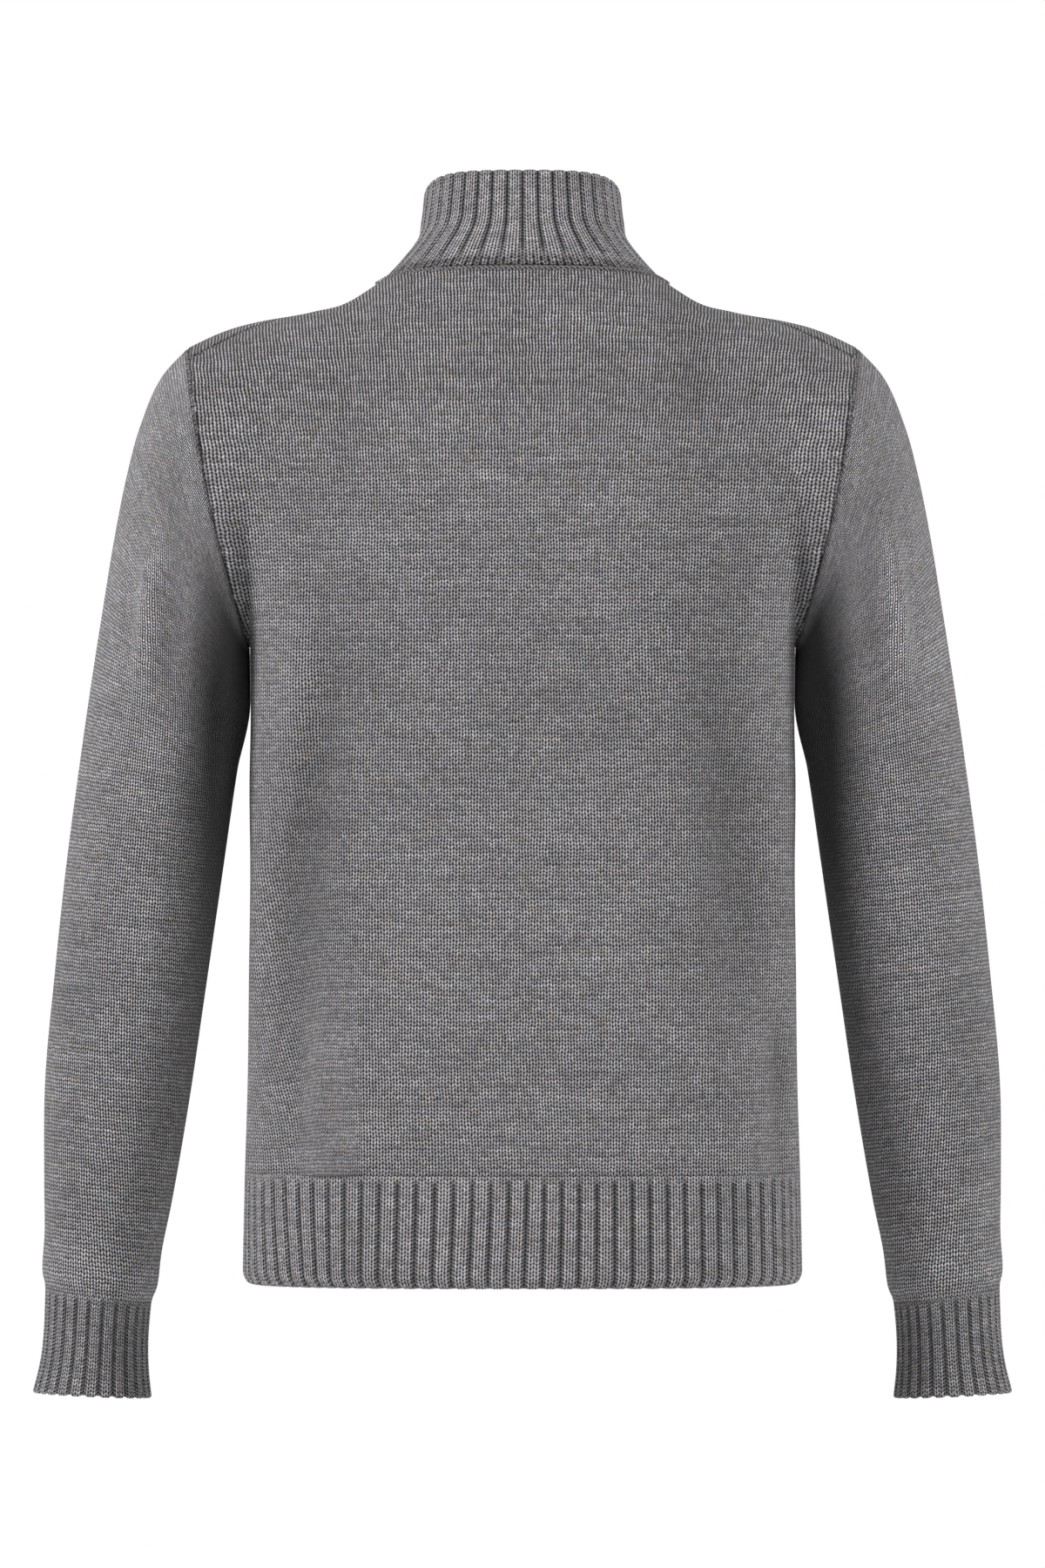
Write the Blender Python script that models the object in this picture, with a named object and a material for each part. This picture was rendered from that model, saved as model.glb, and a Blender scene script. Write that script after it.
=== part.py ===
"""High neck knitted cardigan, buttoned and filled out as it is when worn, built as walls of cloth.

Metres, +Z up, the front faces -Y, the wearer's left is +X. The origin is the middle of the neck at the
height of the shoulders, where a wearer's shoulders carry the garment.
"""
import math

import bmesh
import bpy
import numpy as np
from mathutils import Matrix, Vector

for old_object in list(bpy.data.objects):
    bpy.data.objects.remove(old_object, do_unlink=True)

# ---------------------------------------------------------------- driving dimensions
WALL = 0.003            # thickness of the chunky knit
SEAM_GAP = 0.0003       # clear gap between two panels that are sewn together
ARMHOLE_GAP = 0.0005    # the same at the armhole, where the sleeve turns back on the body
HEM_RIB_TOP = -0.556    # height of the seam between the hem rib and the body
UNDERARM = -0.225       # height of the underarm point
CUFF_START = 0.604      # where the cuff begins, along the outer edge of the sleeve
FRONT_EDGE = 0.020      # the two fronts, hem ribs and the collar end this far from the middle
BAND_FREE_EDGE = -0.0165        # the upper band's free edge, past the middle
BAND_RAMP_END = 0.0155  # the upper band has risen to its level here
BAND_RAISE = 0.0033     # the upper band lies this much above the lower band's level
BAND_MIDDLE = -0.0005   # a column of the upper band near its middle
UNDER_BAND_EDGE = 0.0135        # the lower band's free edge, past the middle
UNDER_BAND_MIDDLE = -0.003      # a column of the lower band near its middle
FOLD_FADE = 0.06        # the body's folds fade out at this depth from the side seam
SEAM_AGREEMENT = 0.6    # pieces share a seam's normal when theirs are within 53 degrees of it
RIM_KEY = np.array([1.0, 0.61, 0.37])   # orders the corners of a rim, alike on both halves
SECTION_POWER = 0.8     # 1 gives elliptical body sections, less gives squarer ones
EVEN_RING = 0.3         # the collar ring, from 0 to 1 up, on which its columns stand evenly
NECK_SHARE = 0.405      # share of the half neck seam, from the centre back, that the back panel takes
SHOULDER_ANGLE = math.radians(22.5)     # how far behind the armhole's top the shoulder seam ends
YOKE_REACH = 0.105      # how far a column of the yoke runs upright from its foot, in the middle
YOKE_REACH_LOSS = 0.033 # how much less of that there is at the armhole
YOKE_ARRIVAL = 0.065    # how far from the seam a column of the yoke takes its arriving direction
LEAN_POWER = 8          # how late across the yoke its columns start to lean over the arm
ARMHOLE_PULL = 0.5      # the share across from which the yoke is drawn to the armhole seam
FIRST_RING = 0.75       # spacing of the sleeve's first rings, as a share of the mean spacing

BUTTON_COUNT = 8
BUTTON_SIDES = 20
BUTTON_RADIUS = 0.011
BUTTON_THICKNESS = 0.0036
BUTTON_DISH_RADIUS = 0.0078
BUTTON_DISH_DEPTH = 0.0008
BUTTON_DISH_SLOPE = 0.0008      # width of the slope round the dish
BUTTON_EASE = 0.0010    # how far the rim's two edges are eased
BUTTON_HOLE_RADIUS = 0.0011
BUTTON_HOLE_OFFSET = 0.0021
BUTTON_HOLES = 4
BUTTON_SEAT = 0.0005    # from the band's surface to the button's back
FIRST_BUTTON = 0.028    # from the hem's edge, along the band
LAST_BUTTON = 0.016     # from the collar's edge, along the band

# Grid divisions of each piece
HEM_ROWS = 2
BODY_ROWS = 7
BACK_YOKE_ROWS = 9
FRONT_YOKE_ROWS = 11
COLLAR_ROWS = 5
NECK_COLUMNS_BACK = 5
NECK_COLUMNS_FRONT = 6
SHOULDER_COLUMNS = 5
SLEEVE_ROWS = 17
CUFF_ROWS = 3

KNIT_GREY = (0.19, 0.18, 0.185, 1.0)
BUTTON_GREY = (0.045, 0.042, 0.042, 1.0)


def table(columns, rows):
    """A short table whose columns are read by name."""
    return np.array(rows, dtype=[(name, float) for name in columns.split()])


# One row per level section of the body: its half width and its depths behind and in front of the axis.
BODY = table("height half_width back front", [
    (-0.626, 0.1768, 0.1140, 0.1130),
    (-0.564, 0.1755, 0.1130, 0.1150),
    (-0.498, 0.1735, 0.1110, 0.1180),
    (-0.430, 0.1727, 0.1095, 0.1190),
    (-0.366, 0.1719, 0.1100, 0.1200),
    (-0.311, 0.1724, 0.1130, 0.1240),
    (-0.268, 0.1716, 0.1165, 0.1280),
    (-0.225, 0.1720, 0.1200, 0.1300),
])

# One row per ring of the collar, from the neck seam to the free edge.
COLLAR = table("up half_width back_y front_y back_z side_z front_z", [
    (0.00, 0.0930, 0.0620, -0.0800, 0.0145, 0.0012, -0.0450),
    (0.20, 0.0815, 0.0605, -0.0785, 0.0268, 0.0120, -0.0325),
    (0.45, 0.0674, 0.0585, -0.0760, 0.0420, 0.0270, -0.0165),
    (0.70, 0.0641, 0.0570, -0.0740, 0.0570, 0.0425, -0.0010),
    (1.00, 0.0623, 0.0555, -0.0720, 0.0745, 0.0592, 0.0180),
])

# One row per ring of the sleeve. The first ring is the armhole seam, the last the cuff's edge.
SLEEVE = table("along outer_x outer_z inner_x inner_z half_depth centre_y bow", [
    (0.0000, 0.2115, -0.0360, 0.1720, -0.2250, 0.0660, 0.000, 0.005),
    (0.0225, 0.2266, -0.0523, 0.1736, -0.2278, 0.0665, 0.000, 0.005),
    (0.0585, 0.2415, -0.0853, 0.1745, -0.2335, 0.0660, 0.000, 0.004),
    (0.0930, 0.2503, -0.1183, 0.1751, -0.2405, 0.0650, 0.000, 0.003),
    (0.1265, 0.2569, -0.1513, 0.1757, -0.2500, 0.0635, 0.000, 0.002),
    (0.1767, 0.2651, -0.2008, 0.1766, -0.2680, 0.0615, -0.001, 0.001),
    (0.2265, 0.2728, -0.2500, 0.1784, -0.2905, 0.0595, -0.002, 0.000),
    (0.2768, 0.2800, -0.2998, 0.1826, -0.3190, 0.0575, -0.004, 0.000),
    (0.3434, 0.2888, -0.3658, 0.1910, -0.3772, 0.0540, -0.008, 0.000),
    (0.4098, 0.2959, -0.4318, 0.2008, -0.4440, 0.0505, -0.012, 0.000),
    (0.4761, 0.3020, -0.4978, 0.2106, -0.5098, 0.0470, -0.017, 0.000),
    (0.5421, 0.3028, -0.5638, 0.2220, -0.5755, 0.0435, -0.022, 0.000),
    (0.6040, 0.3022, -0.6298, 0.2350, -0.6390, 0.0395, -0.027, 0.000),
    (0.6538, 0.3062, -0.6793, 0.2366, -0.6835, 0.0370, -0.030, 0.000),
    (0.6703, 0.3103, -0.6955, 0.2350, -0.6990, 0.0382, -0.031, 0.000),
])

# The shoulder seam between its two ends, which the neck seam and the armhole give.
SHOULDER = table("share x y z", [
    (0.13, 0.1080, 0.0120, -0.0062),
    (0.34, 0.1320, 0.0125, -0.0132),
    (0.62, 0.1640, 0.0135, -0.0206),
    (0.86, 0.1900, 0.0175, -0.0322),
])

# The direction in which a column of cloth arrives at the neck or shoulder seam, by its place across.
BACK_ARRIVAL = table("across x y z", [
    (0.00, 0.00, -0.45, 0.89),
    (0.25, -0.12, -0.65, 0.75),
    (0.50, -0.32, -0.93, 0.20),
    (0.70, -0.08, -0.99, 0.13),
    (1.00, 0.05, -0.88, 0.48),
])
FRONT_ARRIVAL = table("across x y z", [
    (0.00, 0.00, 0.60, 0.80),
    (0.27, -0.20, 0.75, 0.60),
    (0.45, -0.28, 0.90, 0.32),
    (0.55, -0.36, 0.93, 0.25),
    (0.73, -0.08, 0.98, 0.06),
    (1.00, -0.05, 0.88, -0.48),
])

# Soft folds of the body: where the line of the fold runs at its top, middle and bottom, how wide it is
# and how far it stands out (a trough is negative). side is 1 on the back and -1 on the front.
FOLDS = table("side x_top x_middle x_bottom top bottom width height", [
    (1, 0.108, 0.140, 0.152, -0.170, -0.560, 0.020, -0.0045),
    (1, 0.120, 0.127, 0.127, -0.420, -0.600, 0.014, 0.0030),
    (1, -0.105, -0.122, -0.130, -0.160, -0.480, 0.022, -0.0040),
    (1, -0.162, -0.160, -0.158, -0.420, -0.560, 0.009, -0.0045),
    (1, -0.150, -0.146, -0.143, -0.400, -0.580, 0.011, 0.0025),
    (-1, 0.100, 0.118, 0.128, -0.180, -0.540, 0.022, -0.0045),
    (-1, -0.110, -0.126, -0.120, -0.150, -0.520, 0.021, -0.0040),
    (-1, 0.142, 0.146, 0.150, -0.380, -0.600, 0.012, 0.0030),
])


# ---------------------------------------------------------------- curves
def curve(knots, values, at):
    """A smooth line through the rows of a table.

    Between two knots it is the cubic that leaves each with the slope of its neighbours.
    """
    knots = np.asarray(knots, float)
    values = np.asarray(values, float)
    slopes = np.gradient(values, knots)
    at = np.asarray(at, float)
    i = np.clip(np.searchsorted(knots, at, side="right") - 1, 0, len(knots) - 2)
    span = knots[i + 1] - knots[i]
    s = (at - knots[i]) / span
    rise = 3 * s ** 2 - 2 * s ** 3
    return (values[i] * (1 - rise) + values[i + 1] * rise
            + span * (slopes[i] * (s ** 3 - 2 * s ** 2 + s) + slopes[i + 1] * (s ** 3 - s ** 2)))


def column(rows, name, key, at):
    """One named column of a table, read smoothly at the places `at` along the key column."""
    return curve(rows[key], rows[name], at)


def directions(rows, at):
    """Unit directions read from a table's x, y and z columns."""
    vectors = np.stack([column(rows, axis, "across", at) for axis in "xyz"], axis=-1)
    return vectors / np.linalg.norm(vectors, axis=-1, keepdims=True)


def ease(s):
    """0 below 0, 1 above 1 and a smooth step between."""
    s = np.clip(s, 0.0, 1.0)
    return s * s * (3 - 2 * s)


# ---------------------------------------------------------------- the form of the garment
def even_angle(share):
    """The angle of a body section, 0 at its middle and 90 degrees at its side, for equal steps of cloth."""
    angle = np.linspace(0.0, math.pi / 2, 400)
    width, depth = BODY["half_width"].mean(), BODY["back"].mean()
    x = width * np.sin(angle) ** SECTION_POWER
    y = depth * np.cos(angle) ** SECTION_POWER
    length = np.concatenate([[0.0], np.cumsum(np.hypot(np.diff(x), np.diff(y)))])
    return np.interp(share, length / length[-1], angle)


def section_start(width):
    """The share of a quarter section at which it has reached the front edge."""
    shares = np.linspace(0.0, 0.3, 300)
    reach = width * np.sin(even_angle(shares)) ** SECTION_POWER
    return np.interp(FRONT_EDGE, reach, shares)


def body_section(share, height, side):
    """Points of the level sections of one quarter of the body: side is 1 behind and -1 in front."""
    width = column(BODY, "half_width", "height", height)
    depth = column(BODY, "back" if side > 0 else "front", "height", height)
    angle = even_angle(share)
    x = width * np.sin(angle) ** SECTION_POWER
    y = side * depth * np.clip(np.cos(angle), 0.0, 1.0) ** SECTION_POWER
    return np.stack(np.broadcast_arrays(x, y, height), axis=-1)


def collar_ring(turn, up):
    """Points of the collar, turn 0 at the centre back and 1 at the centre front, up 0 at the neck seam."""
    half_width, back_y, front_y, back_z, side_z, front_z = (
        column(COLLAR, name, "up", up) for name in COLLAR.dtype.names[1:])
    angle = math.pi * turn
    toward_front = (1 - np.cos(angle)) / 2
    x = half_width * np.clip(np.sin(angle), 0.0, 1.0) ** SECTION_POWER
    y = back_y + (front_y - back_y) * toward_front
    z = (back_z * (1 - toward_front) * (1 - 2 * toward_front)
         + 4 * side_z * toward_front * (1 - toward_front)
         + front_z * toward_front * (2 * toward_front - 1))
    return np.stack(np.broadcast_arrays(x, y, z), axis=-1)


def collar_turn(share, up):
    """The turn at a share of the cloth between the centre back and the front edge of the collar."""
    half_width = column(COLLAR, "half_width", "up", up)
    end = 1 - np.arcsin((FRONT_EDGE / half_width) ** (1 / SECTION_POWER)) / math.pi
    turns = np.linspace(0.0, 1.0, 2001)
    steps = np.linalg.norm(np.diff(collar_ring(turns, EVEN_RING), axis=0), axis=1)
    length = np.concatenate([[0.0], np.cumsum(steps)])
    return np.interp(share * np.interp(end, turns, length), length, turns)


def sleeve_ring(angle, along):
    """Points of the left sleeve: angle 0 on its outer edge, 90 degrees behind, 180 at the underarm.

    A ring is an ellipse from the outer to the inner point, as deep as the arm and bowed outwards.
    """
    outer_x, outer_z, inner_x, inner_z, half_depth, centre_y, bow = (
        column(SLEEVE, name, "along", along) for name in SLEEVE.dtype.names[1:])
    across_x = (outer_x - inner_x) / 2
    across_z = (outer_z - inner_z) / 2
    half = np.hypot(across_x, across_z)
    swell = bow * np.sin(angle) ** 2
    x = (outer_x + inner_x) / 2 + across_x * np.cos(angle) + swell * across_z / half
    z = (outer_z + inner_z) / 2 + across_z * np.cos(angle) - swell * across_x / half
    y = centre_y + half_depth * np.sin(angle)
    return np.stack(np.broadcast_arrays(x, y, z), axis=-1)


def shoulder_seam(share):
    """Points of the shoulder seam from the neck (0) to the armhole (1)."""
    neck_end = collar_ring(collar_turn(NECK_SHARE, 0.0), 0.0)
    arm_end = sleeve_ring(SHOULDER_ANGLE, 0.0)
    knots = np.concatenate([[0.0], SHOULDER["share"], [1.0]])
    return np.stack([
        curve(knots, np.concatenate([[neck_end[i]], SHOULDER[axis], [arm_end[i]]]), share)
        for i, axis in enumerate("xyz")], axis=-1)


def yoke(share, rise, foot, top, arrival, side):
    """The cloth between the underarm and the neck and shoulder seams, on the left half.

    Each column is a cubic from its foot, which it leaves upright, to the seam, where it arrives along
    `arrival`. Near the armhole the column leans over the arm, and what it lacks there to meet the
    armhole seam is added, fading towards the middle.
    """
    def cubic(across, foot_points, top_points):
        lean = (math.pi / 2) * across ** LEAN_POWER
        leave = np.stack([0 * lean, side * np.sin(lean), np.cos(lean)], axis=-1)
        reach = (YOKE_REACH - YOKE_REACH_LOSS * across)[..., None]
        t = rise[:, None, None]
        first = foot_points + reach * leave
        second = top_points - YOKE_ARRIVAL * directions(arrival, across)
        return (foot_points * (1 - t) ** 3 + 3 * first * t * (1 - t) ** 2
                + 3 * second * t ** 2 * (1 - t) + top_points * t ** 3)

    points = cubic(share, foot, top)
    edge = cubic(np.ones(1), foot[-1:], top[-1:])
    first_angle = math.pi if side > 0 else -math.pi
    seam = sleeve_ring(first_angle + (SHOULDER_ANGLE - first_angle) * rise, 0.0)[:, None, :]
    pull = ease((share - ARMHOLE_PULL) / (1 - ARMHOLE_PULL))
    return points + pull[None, :, None] * (seam - edge)


def with_folds(points, side):
    """The same points with the body's soft folds pressed in or out.

    A fold fades to nothing at its two ends and at the side seam.
    """
    out = points.copy()
    x, z = points[..., 0], points[..., 2]
    clear_of_side = ease(np.abs(points[..., 1]) / FOLD_FADE)
    for fold in FOLDS[FOLDS["side"] == side]:
        down = np.clip((fold["top"] - z) / (fold["top"] - fold["bottom"]), 0.0, 1.0)
        line = curve([0.0, 0.5, 1.0], [fold["x_top"], fold["x_middle"], fold["x_bottom"]], down)
        strength = np.sin(math.pi * down) ** 2 * np.exp(-((x - line) / fold["width"]) ** 2)
        out[..., 1] += side * fold["height"] * strength * clear_of_side
    return out


def neck_and_shoulder(neck_shares):
    """The top edge of a body panel: neck seam points, then the shoulder seam to the armhole."""
    neck = collar_ring(collar_turn(neck_shares, 0.0), 0.0)
    shoulder = shoulder_seam(np.linspace(0.0, 1.0, SHOULDER_COLUMNS + 1))
    return np.concatenate([neck, shoulder[1:]])


def body_shares(side):
    """Where the columns of a half panel stand across it, from 0 in the middle to 1 at the side."""
    columns = (NECK_COLUMNS_BACK if side > 0 else NECK_COLUMNS_FRONT) + SHOULDER_COLUMNS
    start = 0.0 if side > 0 else section_start(BODY["half_width"].mean())
    return start + (1 - start) * np.linspace(0.0, 1.0, columns + 1)


def body_rows(side, low, high, rows):
    """Level rows of a half panel between two heights, its front edge held straight."""
    shares = body_shares(side)
    heights = np.linspace(low, high, rows + 1)
    points = with_folds(body_section(shares[None, :], heights[:, None], side), side)
    if side < 0:
        points[:, 0, 0] = FRONT_EDGE
    return points


def mirrored(points):
    """The same points on the other side of the body."""
    return points * np.array([-1.0, 1.0, 1.0])


def both_halves(left):
    """A panel across the whole body from its left half, whose first column is the middle."""
    return np.concatenate([mirrored(left)[:, :0:-1], left], axis=1)


def body_panel(side):
    """The left half of the body without its rib, from the hem seam to the neck and shoulder seams."""
    lower = body_rows(side, HEM_RIB_TOP, UNDERARM, BODY_ROWS)
    rows = BACK_YOKE_ROWS if side > 0 else FRONT_YOKE_ROWS
    neck_shares = (np.linspace(0.0, NECK_SHARE, NECK_COLUMNS_BACK + 1) if side > 0
                   else np.linspace(1.0, NECK_SHARE, NECK_COLUMNS_FRONT + 1))
    top = neck_and_shoulder(neck_shares)
    across = np.linspace(0.0, 1.0, lower.shape[1])
    arrival = BACK_ARRIVAL if side > 0 else FRONT_ARRIVAL
    rise = np.linspace(0.0, 1.0, rows + 1)
    upper = yoke(across, rise, lower[-1], top, arrival, side)
    return np.concatenate([lower, upper[1:]])


def collar_points():
    """The whole collar from its right front edge round the back to its left front edge."""
    back = np.linspace(0.0, NECK_SHARE, NECK_COLUMNS_BACK + 1)
    front = np.linspace(NECK_SHARE, 1.0, NECK_COLUMNS_FRONT + 1)
    shares = np.concatenate([back, front[1:]])
    ups = np.linspace(0.0, 1.0, COLLAR_ROWS + 1)[:, None]
    return both_halves(collar_ring(collar_turn(shares[None, :], ups), ups))


def sleeve_angles():
    """The columns round a sleeve, which meet the rows of the back and the front at the armhole."""
    behind = np.linspace(math.pi, SHOULDER_ANGLE, BACK_YOKE_ROWS + 1)
    before = np.linspace(SHOULDER_ANGLE, -math.pi, FRONT_YOKE_ROWS + 1)
    return np.concatenate([behind, before[1:-1]])


def sleeve_points(start, end, rows):
    """Rings of the left sleeve between two places along it; the first rings stand closer."""
    shares = np.linspace(0.0, 1.0, rows + 1)
    if start == 0:
        shares = FIRST_RING * shares + (1 - FIRST_RING) * shares ** 2
    along = start + (end - start) * shares
    return sleeve_ring(sleeve_angles()[None, :], along[:, None])


def band_rows(front_panel, hem_rib, collar):
    """The line that both bands follow: the front edges of the hem rib, the front and the collar."""
    line = np.concatenate([hem_rib[:-1, 0], front_panel[:-1, 0], collar[:, -1]])
    tangent = np.gradient(line[:, 1:], axis=0)
    normal = np.stack([0 * tangent[:, 0], -tangent[:, 1], tangent[:, 0]], axis=-1)
    return line, normal / np.linalg.norm(normal, axis=1, keepdims=True)


def band_points(line, normal, places, levels):
    """A band's grid: for each place across, the line moved there and raised to its level."""
    rows = []
    for place, level in zip(places, levels):
        moved = line + level * normal
        moved[:, 0] = place
        rows.append(moved)
    return np.stack(rows, axis=1)


# ---------------------------------------------------------------- walls
class Piece:
    """One cut piece of cloth: the grid of its outer side, and what is needed to give it a wall."""

    def __init__(self, name, points, centre, closed=False, arm=0):
        self.name = name
        self.points = points
        self.closed = closed
        self.arm = arm
        if closed:
            across = np.roll(points, -1, axis=1) - np.roll(points, 1, axis=1)
        else:
            across = np.gradient(points, axis=1)
        up = np.gradient(points, axis=0)
        normals = np.cross(across, up)
        normals /= np.linalg.norm(normals, axis=-1, keepdims=True)
        outward = (normals * (points - centre))[..., :2].sum()
        self.turned = outward < 0
        self.normals = -normals if self.turned else normals


def share_seam_normals(pieces):
    """Where pieces meet at a seam they all get the mean normal, so that their walls end face to face.

    Pieces that are folded against each other, as at the underarm, keep their own.
    """
    points = np.concatenate([piece.points.reshape(-1, 3) for piece in pieces])
    normals = np.concatenate([piece.normals.reshape(-1, 3) for piece in pieces])
    _, group = np.unique(np.round(points, 4), axis=0, return_inverse=True)
    group = group.reshape(-1)
    total = np.zeros((group.max() + 1, 3))
    np.add.at(total, group, normals)
    mean = total[group] / np.maximum(np.linalg.norm(total[group], axis=1, keepdims=True), 1e-9)
    agreement = np.ones(group.max() + 1)
    np.minimum.at(agreement, group, (mean * normals).sum(axis=1))
    normals = np.where(agreement[group][:, None] > SEAM_AGREEMENT, mean, normals)
    start = 0
    for piece in pieces:
        count = piece.points[..., 0].size
        piece.normals = normals[start:start + count].reshape(piece.points.shape)
        start += count


def pulled_in(piece):
    """The grid with each border drawn back square to the seam by half its gap.

    The edge of a sleeve at the armhole moves sideways, away from the body, by the whole gap.
    """
    points, normals = piece.points, piece.normals
    out = points.copy()

    def inward(border, inside, border_normals):
        """Unit steps off a border, in the cloth and square to the border."""
        along = np.gradient(border, axis=0)
        step = np.cross(border_normals, along)
        step /= np.linalg.norm(step, axis=-1, keepdims=True)
        return step * np.sign((step * (inside - border)).sum(axis=-1, keepdims=True))

    for end, inside in [(0, 1), (-1, -2)]:
        if piece.arm and end == 0:
            out[0, :, 0] += piece.arm * ARMHOLE_GAP
        else:
            out[end] += inward(points[end], points[inside], normals[end]) * SEAM_GAP / 2
        if not piece.closed:
            out[:, end] += inward(points[:, end], points[:, inside], normals[:, end]) * SEAM_GAP / 2
    return out


def wall_mesh(piece):
    """A closed solid between the outer grid and the same grid moved in by the wall's thickness."""
    outer = pulled_in(piece)
    inner = outer - WALL * piece.normals
    rows, columns = outer.shape[:2]
    vertices = np.concatenate([outer.reshape(-1, 3), inner.reshape(-1, 3)])
    number = np.arange(rows * columns).reshape(rows, columns)
    if piece.closed:
        number = np.concatenate([number, number[:, :1]], axis=1)
    if piece.turned:
        number = number[:, ::-1]
    under = number + rows * columns
    a, b, c, d = number[:-1, :-1], number[:-1, 1:], number[1:, 1:], number[1:, :-1]
    faces = np.stack([a, b, c, d], axis=-1).reshape(-1, 4).tolist()
    e, f, g, h = under[:-1, :-1], under[:-1, 1:], under[1:, 1:], under[1:, :-1]
    faces += np.stack([h, g, f, e], axis=-1).reshape(-1, 4).tolist()

    key = np.abs(vertices) @ RIM_KEY

    def rim(edge, below):
        """Triangles that join a border of the outer side to the inner side.

        Each step is cut along the diagonal from its outer point of lower key, so that two pieces that
        meet at a seam have the same rim there, however it twists.
        """
        first, second, under_first, under_second = edge[1:], edge[:-1], below[1:], below[:-1]
        lower = (key[first] < key[second])[:, None]
        one = np.where(lower, np.stack([first, second, under_second], axis=-1),
                       np.stack([first, second, under_first], axis=-1))
        two = np.where(lower, np.stack([first, under_second, under_first], axis=-1),
                       np.stack([second, under_second, under_first], axis=-1))
        return np.concatenate([one, two]).tolist()

    faces += rim(number[0], under[0])
    faces += rim(number[-1, ::-1], under[-1, ::-1])
    if not piece.closed:
        faces += rim(number[::-1, 0], under[::-1, 0])
        faces += rim(number[:, -1], under[:, -1])
    mesh = bpy.data.meshes.new(piece.name)
    mesh.from_pydata(vertices.tolist(), [], faces)
    mesh.update()
    return mesh


def material(name, colour, roughness):
    """A plain Principled material of one piece."""
    result = bpy.data.materials.new(name)
    result.use_nodes = True
    shader = result.node_tree.nodes["Principled BSDF"]
    shader.inputs["Base Color"].default_value = colour
    shader.inputs["Roughness"].default_value = roughness
    shader.inputs["Metallic"].default_value = 0.0
    return result


def add_object(name, mesh, colour, roughness):
    """Put a mesh in the scene as a named piece with its own material."""
    mesh.materials.append(material(name + "_finish", colour, roughness))
    result = bpy.data.objects.new(name, mesh)
    bpy.context.scene.collection.objects.link(result)
    return result


# ---------------------------------------------------------------- buttons
def button_mesh():
    """A sew-through button before its holes are cut: a turned disc with a dished face and an eased rim."""
    profile = [
        (BUTTON_RADIUS - BUTTON_EASE, 0.0),
        (BUTTON_RADIUS, BUTTON_EASE),
        (BUTTON_RADIUS, BUTTON_THICKNESS - BUTTON_EASE),
        (BUTTON_RADIUS - BUTTON_EASE, BUTTON_THICKNESS),
        (BUTTON_DISH_RADIUS + BUTTON_DISH_SLOPE, BUTTON_THICKNESS),
        (BUTTON_DISH_RADIUS, BUTTON_THICKNESS - BUTTON_DISH_DEPTH),
    ]
    shape = bmesh.new()
    rings = []
    for radius, height in profile:
        ring = []
        for i in range(BUTTON_SIDES):
            turn = 2 * math.pi * i / BUTTON_SIDES
            ring.append(shape.verts.new((radius * math.cos(turn), radius * math.sin(turn), height)))
        rings.append(ring)
    for low, high in zip(rings, rings[1:]):
        for i in range(BUTTON_SIDES):
            j = (i + 1) % BUTTON_SIDES
            shape.faces.new((low[i], low[j], high[j], high[i]))
    shape.faces.new(rings[0][::-1])
    shape.faces.new(rings[-1])
    mesh = bpy.data.meshes.new("button")
    shape.to_mesh(mesh)
    shape.free()
    return mesh


def hole_cutter():
    """Thin posts, one for each hole of a button, longer than the button is thick."""
    shape = bmesh.new()
    for i in range(BUTTON_HOLES):
        turn = math.pi / 4 + 2 * math.pi * i / BUTTON_HOLES
        place = Matrix.Translation((BUTTON_HOLE_OFFSET * math.cos(turn),
                                    BUTTON_HOLE_OFFSET * math.sin(turn), BUTTON_THICKNESS / 2))
        bmesh.ops.create_cone(shape, cap_ends=True, segments=8, radius1=BUTTON_HOLE_RADIUS,
                              radius2=BUTTON_HOLE_RADIUS, depth=4 * BUTTON_THICKNESS, matrix=place)
    mesh = bpy.data.meshes.new("button_hole_cutter")
    shape.to_mesh(mesh)
    shape.free()
    return mesh


def add_buttons(line, normal):
    """Buttons at equal steps up the raised band, each square to the band where it sits."""
    steps = np.linalg.norm(np.diff(line, axis=0), axis=1)
    length = np.concatenate([[0.0], np.cumsum(steps)])
    places = np.linspace(FIRST_BUTTON, length[-1] - LAST_BUTTON, BUTTON_COUNT)
    for number, place in enumerate(places, start=1):
        point = np.array([np.interp(place, length, line[:, i]) for i in range(3)])
        point[0] = 0.0
        out = Vector([np.interp(place, length, normal[:, i]) for i in range(3)]).normalized()
        turn = out.to_track_quat("Z", "X").to_matrix().to_4x4()
        seat = Vector(point) + out * (BAND_RAISE + BUTTON_SEAT)
        name = "button_%d" % number
        button = add_object(name, button_mesh(), BUTTON_GREY, 0.35)
        cutter = bpy.data.objects.new("hole_cutter_%d" % number, hole_cutter())
        bpy.context.scene.collection.objects.link(cutter)
        for placed in (button, cutter):
            placed.matrix_world = Matrix.Translation(seat) @ turn
        cutter.hide_render = True
        cutter.display_type = "WIRE"
        holes = button.modifiers.new("holes", "BOOLEAN")
        holes.object = cutter
        holes.operation = "DIFFERENCE"


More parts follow.
